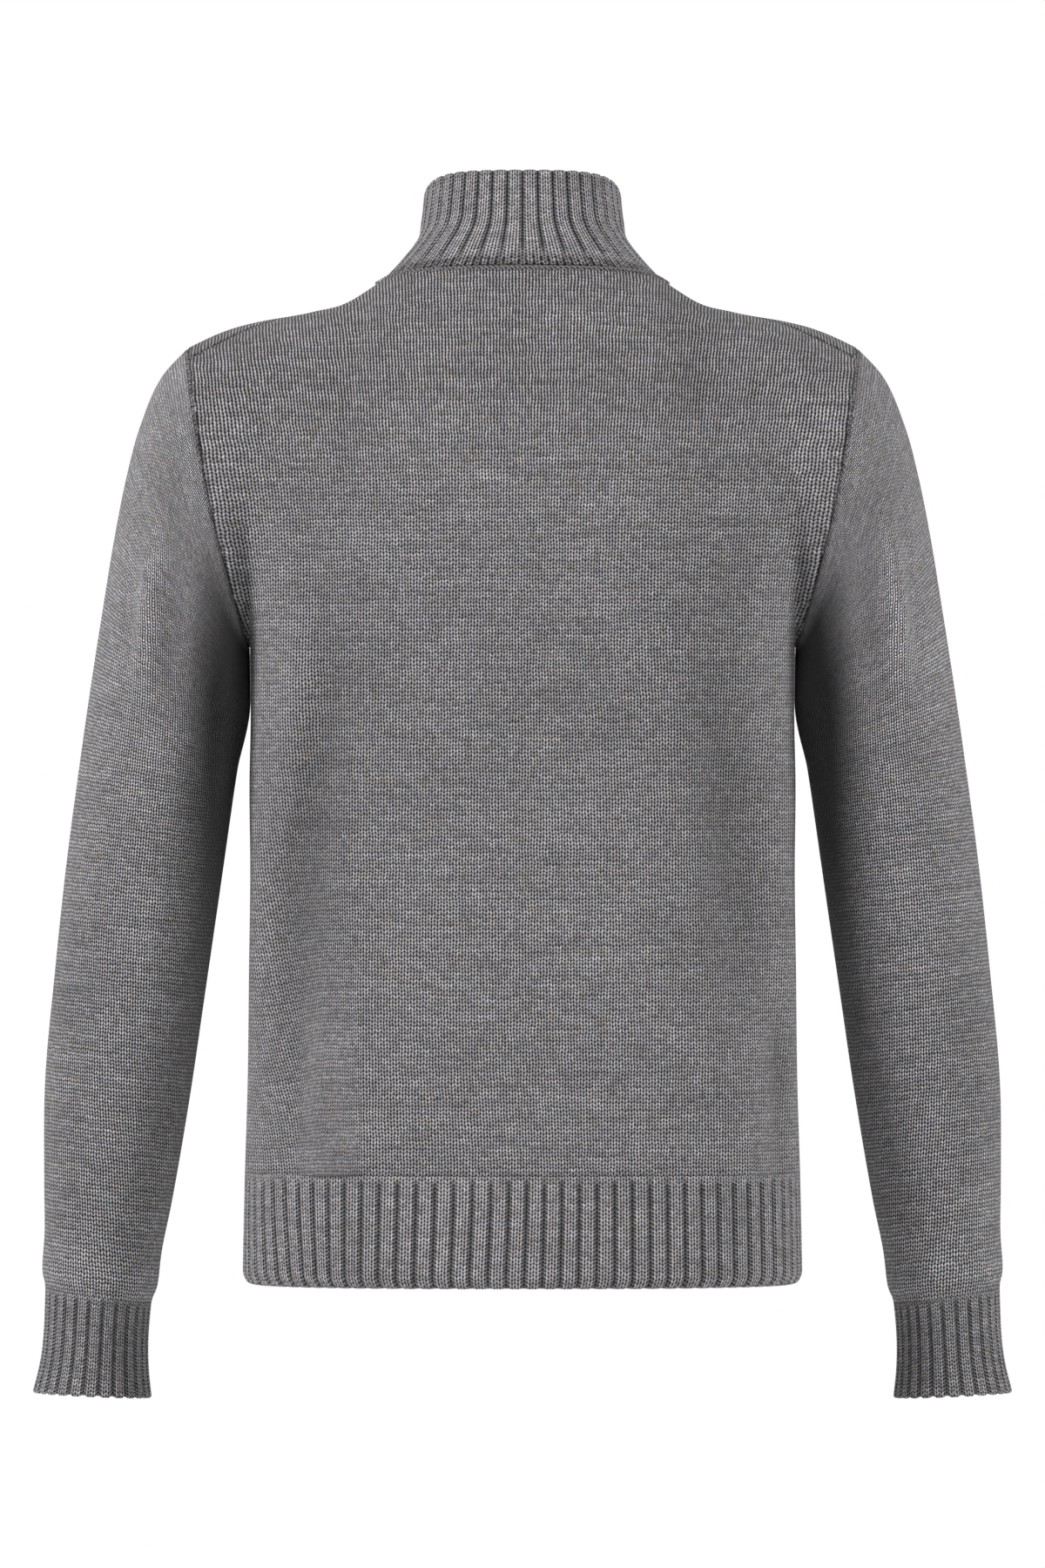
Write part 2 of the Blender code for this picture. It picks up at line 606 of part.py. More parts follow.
# ---------------------------------------------------------------- assembly
def build():
    """Make every piece of the cardigan."""
    back = both_halves(body_panel(1))
    front = body_panel(-1)
    hem_back = both_halves(body_rows(1, BODY["height"][0], HEM_RIB_TOP, HEM_ROWS))
    hem_front = body_rows(-1, BODY["height"][0], HEM_RIB_TOP, HEM_ROWS)
    collar = collar_points()
    sleeve = sleeve_points(0.0, CUFF_START, SLEEVE_ROWS)
    cuff = sleeve_points(CUFF_START, SLEEVE["along"][-1], CUFF_ROWS)
    line, normal = band_rows(front, hem_front, collar)
    upper_band = band_points(line, normal, (FRONT_EDGE, BAND_RAMP_END, BAND_MIDDLE, BAND_FREE_EDGE),
                             (0.0, BAND_RAISE, BAND_RAISE, BAND_RAISE))
    under_band = band_points(line, normal, (-FRONT_EDGE, UNDER_BAND_MIDDLE, UNDER_BAND_EDGE),
                             (0.0, 0.0, 0.0))

    axis = np.zeros(3)
    sleeve_axis = sleeve.mean(axis=1, keepdims=True)
    cuff_axis = cuff.mean(axis=1, keepdims=True)
    pieces = [
        Piece("back", back, axis),
        Piece("front_left", front, axis),
        Piece("front_right", mirrored(front), axis),
        Piece("hem_rib_back", hem_back, axis),
        Piece("hem_rib_front_left", hem_front, axis),
        Piece("hem_rib_front_right", mirrored(hem_front), axis),
        Piece("collar", collar, axis),
        Piece("sleeve_left", sleeve, sleeve_axis, closed=True, arm=1),
        Piece("sleeve_right", mirrored(sleeve), mirrored(sleeve_axis), closed=True, arm=-1),
        Piece("cuff_left", cuff, cuff_axis, closed=True),
        Piece("cuff_right", mirrored(cuff), mirrored(cuff_axis), closed=True),
        Piece("buttonhole_band_left", upper_band, axis),
        Piece("button_band_right", under_band, axis),
    ]
    share_seam_normals(pieces)
    for piece in pieces:
        add_object(piece.name, wall_mesh(piece), KNIT_GREY, 0.9)
    add_buttons(line, normal)


build()
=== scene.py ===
# %% [markdown]
# # A high neck cardigan in chunky melange wool
# The garment is filled out as it is when worn: a body of one back and two fronts, ribbed at the hem, two
# set-in sleeves with ribbed cuffs, a ribbed collar that stands up round the neck, and two bands with eight
# buttons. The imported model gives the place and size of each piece. Here every panel is made again as fine
# cloth: its form is worked out by formula, its ribs are real relief, and its stitches are in the finish.
#
# All lengths are metres. +Z is up, the front faces -Y and the wearer's left is +X.

# %% Load the frame
import math

import bmesh
import bpy
import numpy as np
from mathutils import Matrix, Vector


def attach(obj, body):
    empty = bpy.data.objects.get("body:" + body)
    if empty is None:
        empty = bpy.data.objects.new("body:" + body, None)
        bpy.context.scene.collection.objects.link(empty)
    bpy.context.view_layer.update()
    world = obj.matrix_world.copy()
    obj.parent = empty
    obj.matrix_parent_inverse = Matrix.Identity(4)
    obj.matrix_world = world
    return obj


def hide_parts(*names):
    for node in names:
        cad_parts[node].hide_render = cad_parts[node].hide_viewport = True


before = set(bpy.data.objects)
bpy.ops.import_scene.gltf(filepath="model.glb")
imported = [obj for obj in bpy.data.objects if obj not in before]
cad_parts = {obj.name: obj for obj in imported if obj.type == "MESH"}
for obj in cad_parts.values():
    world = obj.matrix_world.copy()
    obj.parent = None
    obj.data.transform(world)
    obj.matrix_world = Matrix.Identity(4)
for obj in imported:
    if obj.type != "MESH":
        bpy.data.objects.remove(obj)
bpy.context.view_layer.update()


# %% [markdown]
# ## The sizes of the garment
# A knitter works from a chart: so many stitches across, so many courses up, and where each seam lies. The
# same can be said with a few named sizes and short tables, one row for each section of the body, collar and
# sleeve. A smooth curve through the rows gives every section between them, so the form stays easy to alter.

# %% Named sizes
WALL = 0.003            # thickness of the knit
WALE = 0.0037           # width of one stitch
COURSE = 0.0024         # height of one row of stitches
HEM_RIB_TOP = -0.556
UNDERARM = -0.225
CUFF_START = 0.604      # along the outer edge of the sleeve
FRONT_EDGE = 0.020      # where each front ends and its band begins
BAND_FREE_EDGE = -0.0165
BAND_RAMP_END = 0.0155  # from the front's edge to here the upper band climbs
BAND_RAISE = 0.0033     # to this height over the front
UNDER_BAND_EDGE = 0.0135
BAND_TUCK = 0.001       # how far the lip of a band runs into the lip of its front
FOLD_FADE = 0.06        # depth from the side seams within which folds fade out
SECTION_POWER = 0.8     # below 1 makes an oval squarer
EVEN_RING = 0.3         # the height of the collar at which its ribs are evenly spaced
NECK_SHARE = 0.405      # share of the neck seam, from the centre back, that lies on the back
SHOULDER_ANGLE = math.radians(22.5)                 # of the shoulder seam's end on the armhole
YOKE_REACH, YOKE_REACH_LOSS, YOKE_ARRIVAL = 0.105, 0.033, 0.065     # handles of the yoke's curves
LEAN_POWER = 8          # the higher, the nearer to the armhole a column begins to lean over the arm
ARMHOLE_PULL = 0.5      # share of a half panel from which it is drawn to the armhole seam
BACK_NECK_END, FRONT_NECK_END = 5 / 10, 6 / 11      # where across a half panel its shoulder seam begins


# %% Tables of sections
def table(columns, rows):
    """A short table whose columns are read by name."""
    return np.array(rows, dtype=[(name, float) for name in columns.split()])


BODY = table("height half_width back front", [
    (-0.626, 0.1768, 0.1140, 0.1130),
    (-0.564, 0.1755, 0.1130, 0.1150),
    (-0.498, 0.1735, 0.1110, 0.1180),
    (-0.430, 0.1727, 0.1095, 0.1190),
    (-0.366, 0.1719, 0.1100, 0.1200),
    (-0.311, 0.1724, 0.1130, 0.1240),
    (-0.268, 0.1716, 0.1165, 0.1280),
    (-0.225, 0.1720, 0.1200, 0.1300),
])
COLLAR = table("up half_width back_y front_y back_z side_z front_z", [
    (0.00, 0.0930, 0.0620, -0.0800, 0.0145, -0.0026, -0.0450),
    (0.20, 0.0815, 0.0605, -0.0785, 0.0268, 0.0090, -0.0325),
    (0.45, 0.0674, 0.0585, -0.0760, 0.0420, 0.0270, -0.0165),
    (0.70, 0.0641, 0.0570, -0.0740, 0.0570, 0.0425, -0.0010),
    (1.00, 0.0623, 0.0555, -0.0720, 0.0745, 0.0592, 0.0180),
])
SLEEVE = table("along outer_x outer_z inner_x inner_z half_depth centre_y bow", [
    (0.0000, 0.2115, -0.0360, 0.1720, -0.2250, 0.0660, 0.000, 0.005),
    (0.0225, 0.2266, -0.0523, 0.1736, -0.2278, 0.0665, 0.000, 0.005),
    (0.0585, 0.2415, -0.0853, 0.1745, -0.2335, 0.0660, 0.000, 0.004),
    (0.0930, 0.2503, -0.1183, 0.1751, -0.2405, 0.0650, 0.000, 0.003),
    (0.1265, 0.2569, -0.1513, 0.1757, -0.2500, 0.0635, 0.000, 0.002),
    (0.1767, 0.2651, -0.2008, 0.1766, -0.2680, 0.0615, -0.001, 0.001),
    (0.2265, 0.2728, -0.2500, 0.1784, -0.2905, 0.0595, -0.002, 0.000),
    (0.2768, 0.2800, -0.2998, 0.1826, -0.3190, 0.0575, -0.004, 0.000),
    (0.3434, 0.2888, -0.3658, 0.1910, -0.3772, 0.0540, -0.008, 0.000),
    (0.4098, 0.2959, -0.4318, 0.2008, -0.4440, 0.0505, -0.012, 0.000),
    (0.4761, 0.3020, -0.4978, 0.2106, -0.5098, 0.0470, -0.017, 0.000),
    (0.5421, 0.3028, -0.5638, 0.2220, -0.5755, 0.0435, -0.022, 0.000),
    (0.6040, 0.3022, -0.6298, 0.2350, -0.6390, 0.0395, -0.027, 0.000),
    (0.6538, 0.3062, -0.6793, 0.2366, -0.6835, 0.0370, -0.030, 0.000),
    (0.6703, 0.3103, -0.6955, 0.2350, -0.6990, 0.0382, -0.031, 0.000),
])
SHOULDER = table("share x y z", [
    (0.13, 0.1080, 0.0120, -0.0062),
    (0.34, 0.1320, 0.0125, -0.0132),
    (0.62, 0.1640, 0.0135, -0.0206),
    (0.86, 0.1900, 0.0175, -0.0322),
])
BACK_ARRIVAL = table("across x y z", [
    (0.00, 0.00, -0.45, 0.89),
    (0.25, -0.12, -0.65, 0.75),
    (0.50, -0.32, -0.93, 0.20),
    (0.70, -0.08, -0.99, 0.13),
    (1.00, 0.05, -0.88, 0.48),
])
FRONT_ARRIVAL = table("across x y z", [
    (0.00, 0.00, 0.60, 0.80),
    (0.27, -0.20, 0.75, 0.60),
    (0.45, -0.28, 0.90, 0.32),
    (0.55, -0.36, 0.93, 0.25),
    (0.73, -0.08, 0.98, 0.06),
    (1.00, -0.05, 0.88, -0.48),
])
FOLDS = table("side line_top line_middle line_bottom top bottom width height", [
    (1, 0.108, 0.140, 0.152, -0.170, -0.560, 0.020, -0.0045),
    (1, 0.120, 0.127, 0.127, -0.420, -0.600, 0.014, 0.0030),
    (1, -0.105, -0.122, -0.130, -0.160, -0.480, 0.022, -0.0040),
    (1, -0.162, -0.160, -0.158, -0.420, -0.560, 0.009, -0.0045),
    (1, -0.150, -0.146, -0.143, -0.400, -0.580, 0.011, 0.0025),
    (-1, 0.100, 0.118, 0.128, -0.180, -0.540, 0.022, -0.0045),
    (-1, -0.110, -0.126, -0.120, -0.150, -0.520, 0.021, -0.0040),
    (-1, 0.142, 0.146, 0.150, -0.380, -0.600, 0.012, 0.0030),
])
print("tables:", len(BODY), "body,", len(COLLAR), "collar and", len(SLEEVE), "sleeve sections")

# %% [markdown]
# ## Smooth lines through a table
# Between two rows a value could run straight, but the cloth would show a kink at each row. A Hermite cubic
# leaves every row with the slope of its neighbours, so a handful of rows is enough for a soft form.


# %% Curves
def curve(knots, values, at):
    """A smooth line through the rows of a table: a cubic Hermite piece between each two knots."""
    knots = np.asarray(knots, float)
    values = np.asarray(values, float)
    slopes = np.gradient(values, knots)
    at = np.asarray(at, float)
    i = np.clip(np.searchsorted(knots, at, side="right") - 1, 0, len(knots) - 2)
    span = knots[i + 1] - knots[i]
    s = (at - knots[i]) / span
    rise = 3 * s ** 2 - 2 * s ** 3
    return (values[i] * (1 - rise) + values[i + 1] * rise
            + span * (slopes[i] * (s ** 3 - 2 * s ** 2 + s) + slopes[i + 1] * (s ** 3 - s ** 2)))


def column(rows, name, key, at):
    """One named column of a table, read smoothly at places along the key column."""
    return curve(rows[key], rows[name], at)


def unit(vectors):
    """Vectors scaled to length 1."""
    return vectors / np.maximum(np.linalg.norm(vectors, axis=-1, keepdims=True), 1e-12)


def directions(rows, at):
    """Unit directions read from a table's x, y and z columns."""
    return unit(np.stack([column(rows, axis, "across", at) for axis in "xyz"], axis=-1))


def ease(s):
    """0 below 0, 1 above 1 and a smooth step between."""
    s = np.clip(s, 0.0, 1.0)
    return s * s * (3 - 2 * s)


def arc_length(points, axis):
    """Distance along a grid of points from its first row or column, the same shape as the grid."""
    steps = np.linalg.norm(np.diff(points, axis=axis), axis=-1)
    total = np.cumsum(steps, axis=axis)
    start = np.zeros_like(np.take(total, [0], axis=axis))
    return np.concatenate([start, total], axis=axis)


# %% [markdown]
# ## The form of the body, collar and sleeves
# The body's level sections are ovals a little squarer than ellipses. The collar is a ring that leans in as
# it rises, higher behind than in front. A sleeve is a row of ellipses hung between its outer and inner edge.
# Between the underarm and the shoulders each column of cloth is a Bezier cubic, which leaves the chest
# upright and reaches its seam along a chosen direction: lofting level sections there would fold the cloth.


# %% Body sections and collar
def even_angle(share):
    """The angle of a body section, 0 at its middle and 90 degrees at its side, for equal steps of cloth."""
    angle = np.linspace(0.0, math.pi / 2, 4000)
    width, depth = BODY["half_width"].mean(), BODY["back"].mean()
    x = width * np.sin(angle) ** SECTION_POWER
    y = depth * np.cos(angle) ** SECTION_POWER
    length = np.concatenate([[0.0], np.cumsum(np.hypot(np.diff(x), np.diff(y)))])
    return np.interp(share, length / length[-1], angle)


def section_start(width):
    """The share of a quarter section at which it has reached the front edge."""
    shares = np.linspace(0.0, 0.3, 3000)
    return np.interp(FRONT_EDGE, width * np.sin(even_angle(shares)) ** SECTION_POWER, shares)


def body_section(share, height, side):
    """One quarter of the level sections: x = width sin^p, y = depth cos^p, side 1 behind and -1 in front."""
    width = column(BODY, "half_width", "height", height)
    depth = column(BODY, "back" if side > 0 else "front", "height", height)
    angle = even_angle(share)
    x = width * np.sin(angle) ** SECTION_POWER
    y = side * depth * np.clip(np.cos(angle), 0.0, 1.0) ** SECTION_POWER
    return np.stack(np.broadcast_arrays(x, y, height), axis=-1)


def collar_ring(turn, up):
    """Points of the collar, turn 0 at the centre back and 1 at the centre front, up 0 at the neck seam."""
    half_width, back_y, front_y, back_z, side_z, front_z = (
        column(COLLAR, name, "up", up) for name in COLLAR.dtype.names[1:])
    angle = math.pi * turn
    forward = (1 - np.cos(angle)) / 2
    x = half_width * np.clip(np.sin(angle), 0.0, 1.0) ** SECTION_POWER
    y = back_y + (front_y - back_y) * forward
    z = (back_z * (1 - forward) * (1 - 2 * forward) + 4 * side_z * forward * (1 - forward)
         + front_z * forward * (2 * forward - 1))
    return np.stack(np.broadcast_arrays(x, y, z), axis=-1)


def collar_turn(share, up):
    """The turn at a share of the cloth between the centre back and the front edge of the collar."""
    half_width = column(COLLAR, "half_width", "up", up)
    end = 1 - np.arcsin((FRONT_EDGE / half_width) ** (1 / SECTION_POWER)) / math.pi
    turns = np.linspace(0.0, 1.0, 2001)
    length = arc_length(collar_ring(turns, EVEN_RING), 0)
    return np.interp(share * np.interp(end, turns, length), length, turns)


# %% Sleeve rings and the shoulder seam
def sleeve_ring(angle, along):
    """Points of the left sleeve: angle 0 on its outer edge, 90 degrees behind, 180 at the underarm."""
    outer_x, outer_z, inner_x, inner_z, half_depth, centre_y, bow = (
        column(SLEEVE, name, "along", along) for name in SLEEVE.dtype.names[1:])
    across_x = (outer_x - inner_x) / 2
    across_z = (outer_z - inner_z) / 2
    half = np.hypot(across_x, across_z)
    swell = bow * np.sin(angle) ** 2
    x = (outer_x + inner_x) / 2 + across_x * np.cos(angle) + swell * across_z / half
    z = (outer_z + inner_z) / 2 + across_z * np.cos(angle) - swell * across_x / half
    y = centre_y + half_depth * np.sin(angle)
    return np.stack(np.broadcast_arrays(x, y, z), axis=-1)


def shoulder_seam(share):
    """Points of the shoulder seam from the neck (0) to the armhole (1)."""
    neck_end = collar_ring(collar_turn(NECK_SHARE, 0.0), 0.0)
    arm_end = sleeve_ring(SHOULDER_ANGLE, 0.0)
    knots = np.concatenate([[0.0], SHOULDER["share"], [1.0]])
    return np.stack([
        curve(knots, np.concatenate([[neck_end[i]], SHOULDER[axis], [arm_end[i]]]), share)
        for i, axis in enumerate("xyz")], axis=-1)


# %% The yoke
def yoke(across, rise, foot, top, arrival, side):
    """Cloth between the underarm and the seams above it: one Bezier cubic for each column.

    P(t) = foot (1-t)^3 + 3 first t (1-t)^2 + 3 second t^2 (1-t) + top t^3. Near the armhole the columns lean
    over the arm, and what they lack to meet the armhole seam is added, fading towards the middle.
    """
    def cubic(share, foot_points, top_points):
        lean = (math.pi / 2) * share ** LEAN_POWER
        leave = np.stack([0 * lean, side * np.sin(lean), np.cos(lean)], axis=-1)
        t = rise[:, None, None]
        first = foot_points + (YOKE_REACH - YOKE_REACH_LOSS * share)[..., None] * leave
        second = top_points - YOKE_ARRIVAL * directions(arrival, share)
        return (foot_points * (1 - t) ** 3 + 3 * first * t * (1 - t) ** 2
                + 3 * second * t ** 2 * (1 - t) + top_points * t ** 3)

    edge = cubic(np.ones(1), foot[-1:], top[-1:])
    first_angle = math.pi if side > 0 else -math.pi
    seam = sleeve_ring(first_angle + (SHOULDER_ANGLE - first_angle) * rise, 0.0)[:, None, :]
    pull = ease((across - ARMHOLE_PULL) / (1 - ARMHOLE_PULL))
    return cubic(across, foot, top) + pull[None, :, None] * (seam - edge)


# %% Folds
def bell(away, width):
    """1 at no distance, falling off both ways."""
    return np.exp(-(away / width) ** 2)


def ridges(rows, across, along):
    """Height of ridges and troughs: each is a bell across its line times a sine squared along it.

    A line runs from its top to its bottom, through the middle where the table has one.
    """
    total = np.zeros(np.broadcast(across, along).shape)
    for row in rows:
        down = np.clip((row["top"] - along) / (row["top"] - row["bottom"]), 0.0, 1.0)
        bends = [row[name] for name in rows.dtype.names if name.startswith("line_")]
        line = curve(np.linspace(0.0, 1.0, len(bends)), bends, down)
        total += row["height"] * np.sin(math.pi * down) ** 2 * bell(across - line, row["width"])
    return total


def body_ridges(rows, points, side):
    """The ridges of one side of the body, fading out towards its side seams."""
    clear_of_side = ease(np.abs(points[..., 1]) / FOLD_FADE)
    return ridges(rows[rows["side"] == side], points[..., 0], points[..., 2]) * clear_of_side


def with_folds(points, side):
    """The same points with the soft folds pressed in."""
    out = points.copy()
    out[..., 1] += side * body_ridges(FOLDS, points, side)
    return out


# %% Half panels of the body
def level_rows(side, across, heights):
    """Level rows of a half panel below the underarm, its front edge held straight."""
    start = 0.0 if side > 0 else section_start(BODY["half_width"].mean())
    shares = start + (1 - start) * across
    points = with_folds(body_section(shares[None, :], heights[:, None], side), side)
    if side < 0:
        points[:, 0, 0] = FRONT_EDGE
    return points


def top_edge(side, across):
    """The upper edge of a half panel: the neck seam as far as the shoulder, then the shoulder seam."""
    neck_end = BACK_NECK_END if side > 0 else FRONT_NECK_END
    along_neck = np.clip(across / neck_end, 0.0, 1.0)
    share = NECK_SHARE * along_neck if side > 0 else 1 - (1 - NECK_SHARE) * along_neck
    neck = collar_ring(collar_turn(share, 0.0), 0.0)
    shoulder = shoulder_seam(np.clip((across - neck_end) / (1 - neck_end), 0.0, 1.0))
    return np.where((across < neck_end)[:, None], neck, shoulder)


def half_panel(side, across, heights, rise):
    """The left half of the body above its rib, from the hem seam to the neck and shoulder seams."""
    lower = level_rows(side, across, heights)
    arrival = BACK_ARRIVAL if side > 0 else FRONT_ARRIVAL
    upper = yoke(across, rise, lower[-1], top_edge(side, across), arrival, side)
    return np.concatenate([lower, upper[1:]])


print("shoulder seam", round(float(arc_length(shoulder_seam(np.linspace(0, 1, 60)), 0)[-1]), 3), "m long")

# %% [markdown]
# ## From a grid to a piece of knitting
# A knitted panel is a thin wall with soft, round edges. It could be a plane with a Solidify modifier, but
# then its border is a hard rim and its ribs are only as good as a texture. Here each panel is two grids, the
# right side and the wrong side of the knit, joined round the border. The distance to a border rounds it off
# like the folded lip of real knitting, and where two lips meet they make the valley of a seam.
#
# Every panel gets two maps. "Stitch" counts stitches across and rows up, so the finish can draw each loop
# where a knitter would have made it. "OFBake" spreads the panel flat, the right side large.

# %% Grids and their maps
LIP = WALL / 2
LIP_FULLNESS = 0.88     # 1 would be a full half round, which leaves no rim
LIP_PLACES = np.array([0.08, 0.30, 0.60, 0.95, 1.50]) * LIP
# Across the flat map: the right side as far as OUTER_SHARE, then the rim, then the wrong side.
OUTER_SHARE, INNER_START, RIM_START, RIM_WIDTH = 0.69, 0.745, 0.70, 0.008
MAP_MARGIN = 0.004


def places(length, spacing, start=False, end=False):
    """Places from 0 to 1 along a length: even steps, with closer ones beside a border that is rounded."""
    even = np.linspace(0.0, 1.0, max(2, round(length / spacing)) + 1)
    near = LIP_PLACES / length
    if start:
        even = np.concatenate([[0.0], near, even[even > near[-1] * 1.3]])
    if end:
        even = np.concatenate([even[even < 1 - near[-1] * 1.3], (1 - near)[::-1], [1.0]])
    return even


def grid_normals(points, closed):
    """Unit normals of a grid: the cross product of its two directions."""
    if closed:
        points = np.concatenate([points[:, -2:-1], points, points[:, 1:2]], axis=1)
    normals = unit(np.cross(np.gradient(points, axis=1), np.gradient(points, axis=0)))
    return normals[:, 1:-1] if closed else normals


def border_distance(points, rounded):
    """How far each point of a grid is from the nearest border that is named in `rounded`."""
    up, across = arc_length(points, 0), arc_length(points, 1)
    distance = np.full(points.shape[:2], 1.0)
    for name, away in [("bottom", up), ("top", up[-1:] - up), ("left", across),
                       ("right", across[:, -1:] - across)]:
        if name in rounded.split():
            distance = np.minimum(distance, away)
    return distance


def corners_of(grid):
    """The four corners of each cell of a grid, in the order of a face seen from outside."""
    return np.stack([grid[:-1, :-1], grid[:-1, 1:], grid[1:, 1:], grid[1:, :-1]], axis=2).reshape(
        (-1, 4) + grid.shape[2:])


def strip(first, second):
    """The four corners of each step of a strip between two lines."""
    return np.stack([first[:-1], first[1:], second[1:], second[:-1]], axis=1)


# %% A panel of knitting
def give_map(mesh, name, values):
    """Write a UV map from one value for each corner of each face."""
    layer = mesh.uv_layers.new(name=name)
    layer.data.foreach_set("uv", np.asarray(values, np.float32).reshape(-1))


def give_value(mesh, name, values):
    """Write a number for each vertex, which a finish can read by name."""
    layer = mesh.attributes.new(name, "FLOAT", "POINT")
    layer.data.foreach_set("value", np.asarray(values, np.float32).reshape(-1))


def add_piece(name, mesh):
    """Put a mesh in the scene, smooth shaded, with its object at the origin."""
    mesh.shade_smooth()
    piece = bpy.data.objects.new(name, mesh)
    bpy.context.scene.collection.objects.link(piece)
    return piece


def knit_panel(name, base, stitch, rounded, relief=0.0, seam="", seam_reach=0.0025, slide=0.0, ribs=0.0,
               hollow=0.0, closed=False, centre=(0.0, 0.0, 0.0), flat_back=False):
    """A panel of knitting over a grid of points P, which `slide` moves.

    right side = P + n (relief - roll), wrong side = P + n (relief - WALL + roll), with
    roll = fullness (r - sqrt(r^2 - (r - d)^2)) at a distance d under r from a rounded border. The value
    "seam" is 1 at the borders that `seam` names and falls off as a bell, and the finish paints shade along
    it; "ribs" is 1 where ribs are fully formed; and the painted shade value tells how much shade the finish
    paints on the cloth, from how deep it lies in a trough, and below 0 how much light it paints on a ridge.
    """
    relief, ribs, hollow = (np.broadcast_to(value, base.shape[:2]) for value in (relief, ribs, hollow))
    slide = np.broadcast_to(slide, base.shape)
    seam = bell(border_distance(base, seam), seam_reach)
    if (grid_normals(base, closed) * (base - centre))[..., :2].sum() < 0:
        base, stitch, relief, seam, ribs, hollow, slide = (
            grid[:, ::-1] for grid in (base, stitch, relief, seam, ribs, hollow, slide))
        rounded = rounded.replace("left", "other").replace("right", "left").replace("other", "right")
    normals = grid_normals(base, closed)
    near = np.clip(border_distance(base, rounded), 0.0, LIP)
    roll = LIP_FULLNESS * (LIP - np.sqrt(LIP ** 2 - (LIP - near) ** 2))[..., None]
    outer = base + slide + normals * (relief[..., None] - roll)
    inner = base + slide + normals * ((0.0 if flat_back else relief[..., None]) - WALL + roll)

    rows, width = base.shape[:2]
    kept = width - 1 if closed else width
    number = np.arange(rows * kept).reshape(rows, kept)
    if closed:
        number = np.concatenate([number, number[:, :1]], axis=1)
    under = number + rows * kept
    reach = [np.linspace(0.0, 1.0, width) if axis else np.linspace(0.0, 1.0, rows) for axis in (1, 0)]
    across, up = np.meshgrid(*reach)
    up = MAP_MARGIN + (1 - 2 * MAP_MARGIN) * up
    flat = np.stack([MAP_MARGIN + (OUTER_SHARE - MAP_MARGIN) * across, up], axis=-1)
    flat_under = np.stack([INNER_START + (1 - MAP_MARGIN - INNER_START) * across, up], axis=-1)

    faces = [corners_of(number), corners_of(under)[:, ::-1]]
    knit_map = [corners_of(stitch), corners_of(stitch)[:, ::-1]]
    bake_map = [corners_of(flat), corners_of(flat_under)[:, ::-1]]
    borders = [(0, slice(None, None, -1)), (-1, slice(None))]
    if not closed:
        borders += [(slice(None), 0), (slice(None, None, -1), -1)]
    for i, border in enumerate(borders):
        line = stitch[border]
        off = np.array([0.0, 1.0]) if i < 2 else np.array([0.8, 0.0])
        length = np.linspace(MAP_MARGIN, 1 - MAP_MARGIN, len(line))
        left = np.stack([0 * length + RIM_START + i * 1.3 * RIM_WIDTH, length], axis=-1)
        faces.append(strip(number[border], under[border]))
        knit_map.append(strip(line, line + off))
        bake_map.append(strip(left, left + [RIM_WIDTH, 0.0]))

    mesh = bpy.data.meshes.new(name)
    points = np.concatenate([outer[:, :kept].reshape(-1, 3), inner[:, :kept].reshape(-1, 3)])
    mesh.from_pydata(points.tolist(), [], np.concatenate(faces).tolist())
    give_map(mesh, "Stitch", np.concatenate(knit_map))
    give_map(mesh, "OFBake", np.concatenate(bake_map))
    mesh.uv_layers.active = mesh.uv_layers["Stitch"]
    mesh.uv_layers["Stitch"].active_render = True
    give_value(mesh, "inside", np.repeat([0.0, 1.0], rows * kept))
    for value_name, values, wrong_side in (("seam", seam, 1.0), ("ribs", ribs, 1.0), ("hollow", hollow, 0.0)):
        values = values[:, :kept].reshape(-1)
        give_value(mesh, value_name, np.concatenate([values, wrong_side * values]))
    sides = [arc_length(base, 1)[:, -1].max(), arc_length(base, 0)[-1].max()]
    cells = np.cross(base[1:, 1:] - base[:-1, :-1], base[1:, :-1] - base[:-1, 1:])
    share = np.linalg.norm(cells, axis=-1).sum() / 2 / (sides[0] * sides[1])
    print("%s: %d triangles, %.3f x %.3f m, %.2f of it cloth"
          % (name, 2 * len(mesh.polygons), *sides, share))
    return add_piece(name, mesh)


def mirrored(points):
    """The same points on the other side of the body."""
    return points * np.array([-1.0, 1.0, 1.0])


def both_halves(left, sign=1.0):
    """A grid across the whole body from its left half; `sign` is -1 for values that change sign there."""
    other = mirrored(left) if left.shape[-1] == 3 else left * np.array([sign, 1.0])
    return np.concatenate([other[:, :0:-1], left], axis=1)


# %% [markdown]
# ## Back and fronts
# The back is one panel, made here as a left half and its mirror image so that its stitches run out evenly
# from the middle. Its folds come from FOLDS; CREASES adds the softer unevenness of worn knitting, as ridges
# and troughs that follow no symmetry. The grid fits itself to the armhole, but knitting doesn't: its wales,
# the upright lines of stitches, run straight up and the shaped edges cut them off. So the stitch map is
# worked out apart from the grid, from where each point lies, and then pulled where the cloth is pulled.

# %% Creases of the body
HALF_BACK_WALES = 63
HALF_FRONT_WALES = 54
FRONT_FIRST_WALE = 6
FULL_TROUGH = 0.006     # depth of a trough at which its painted shade is full
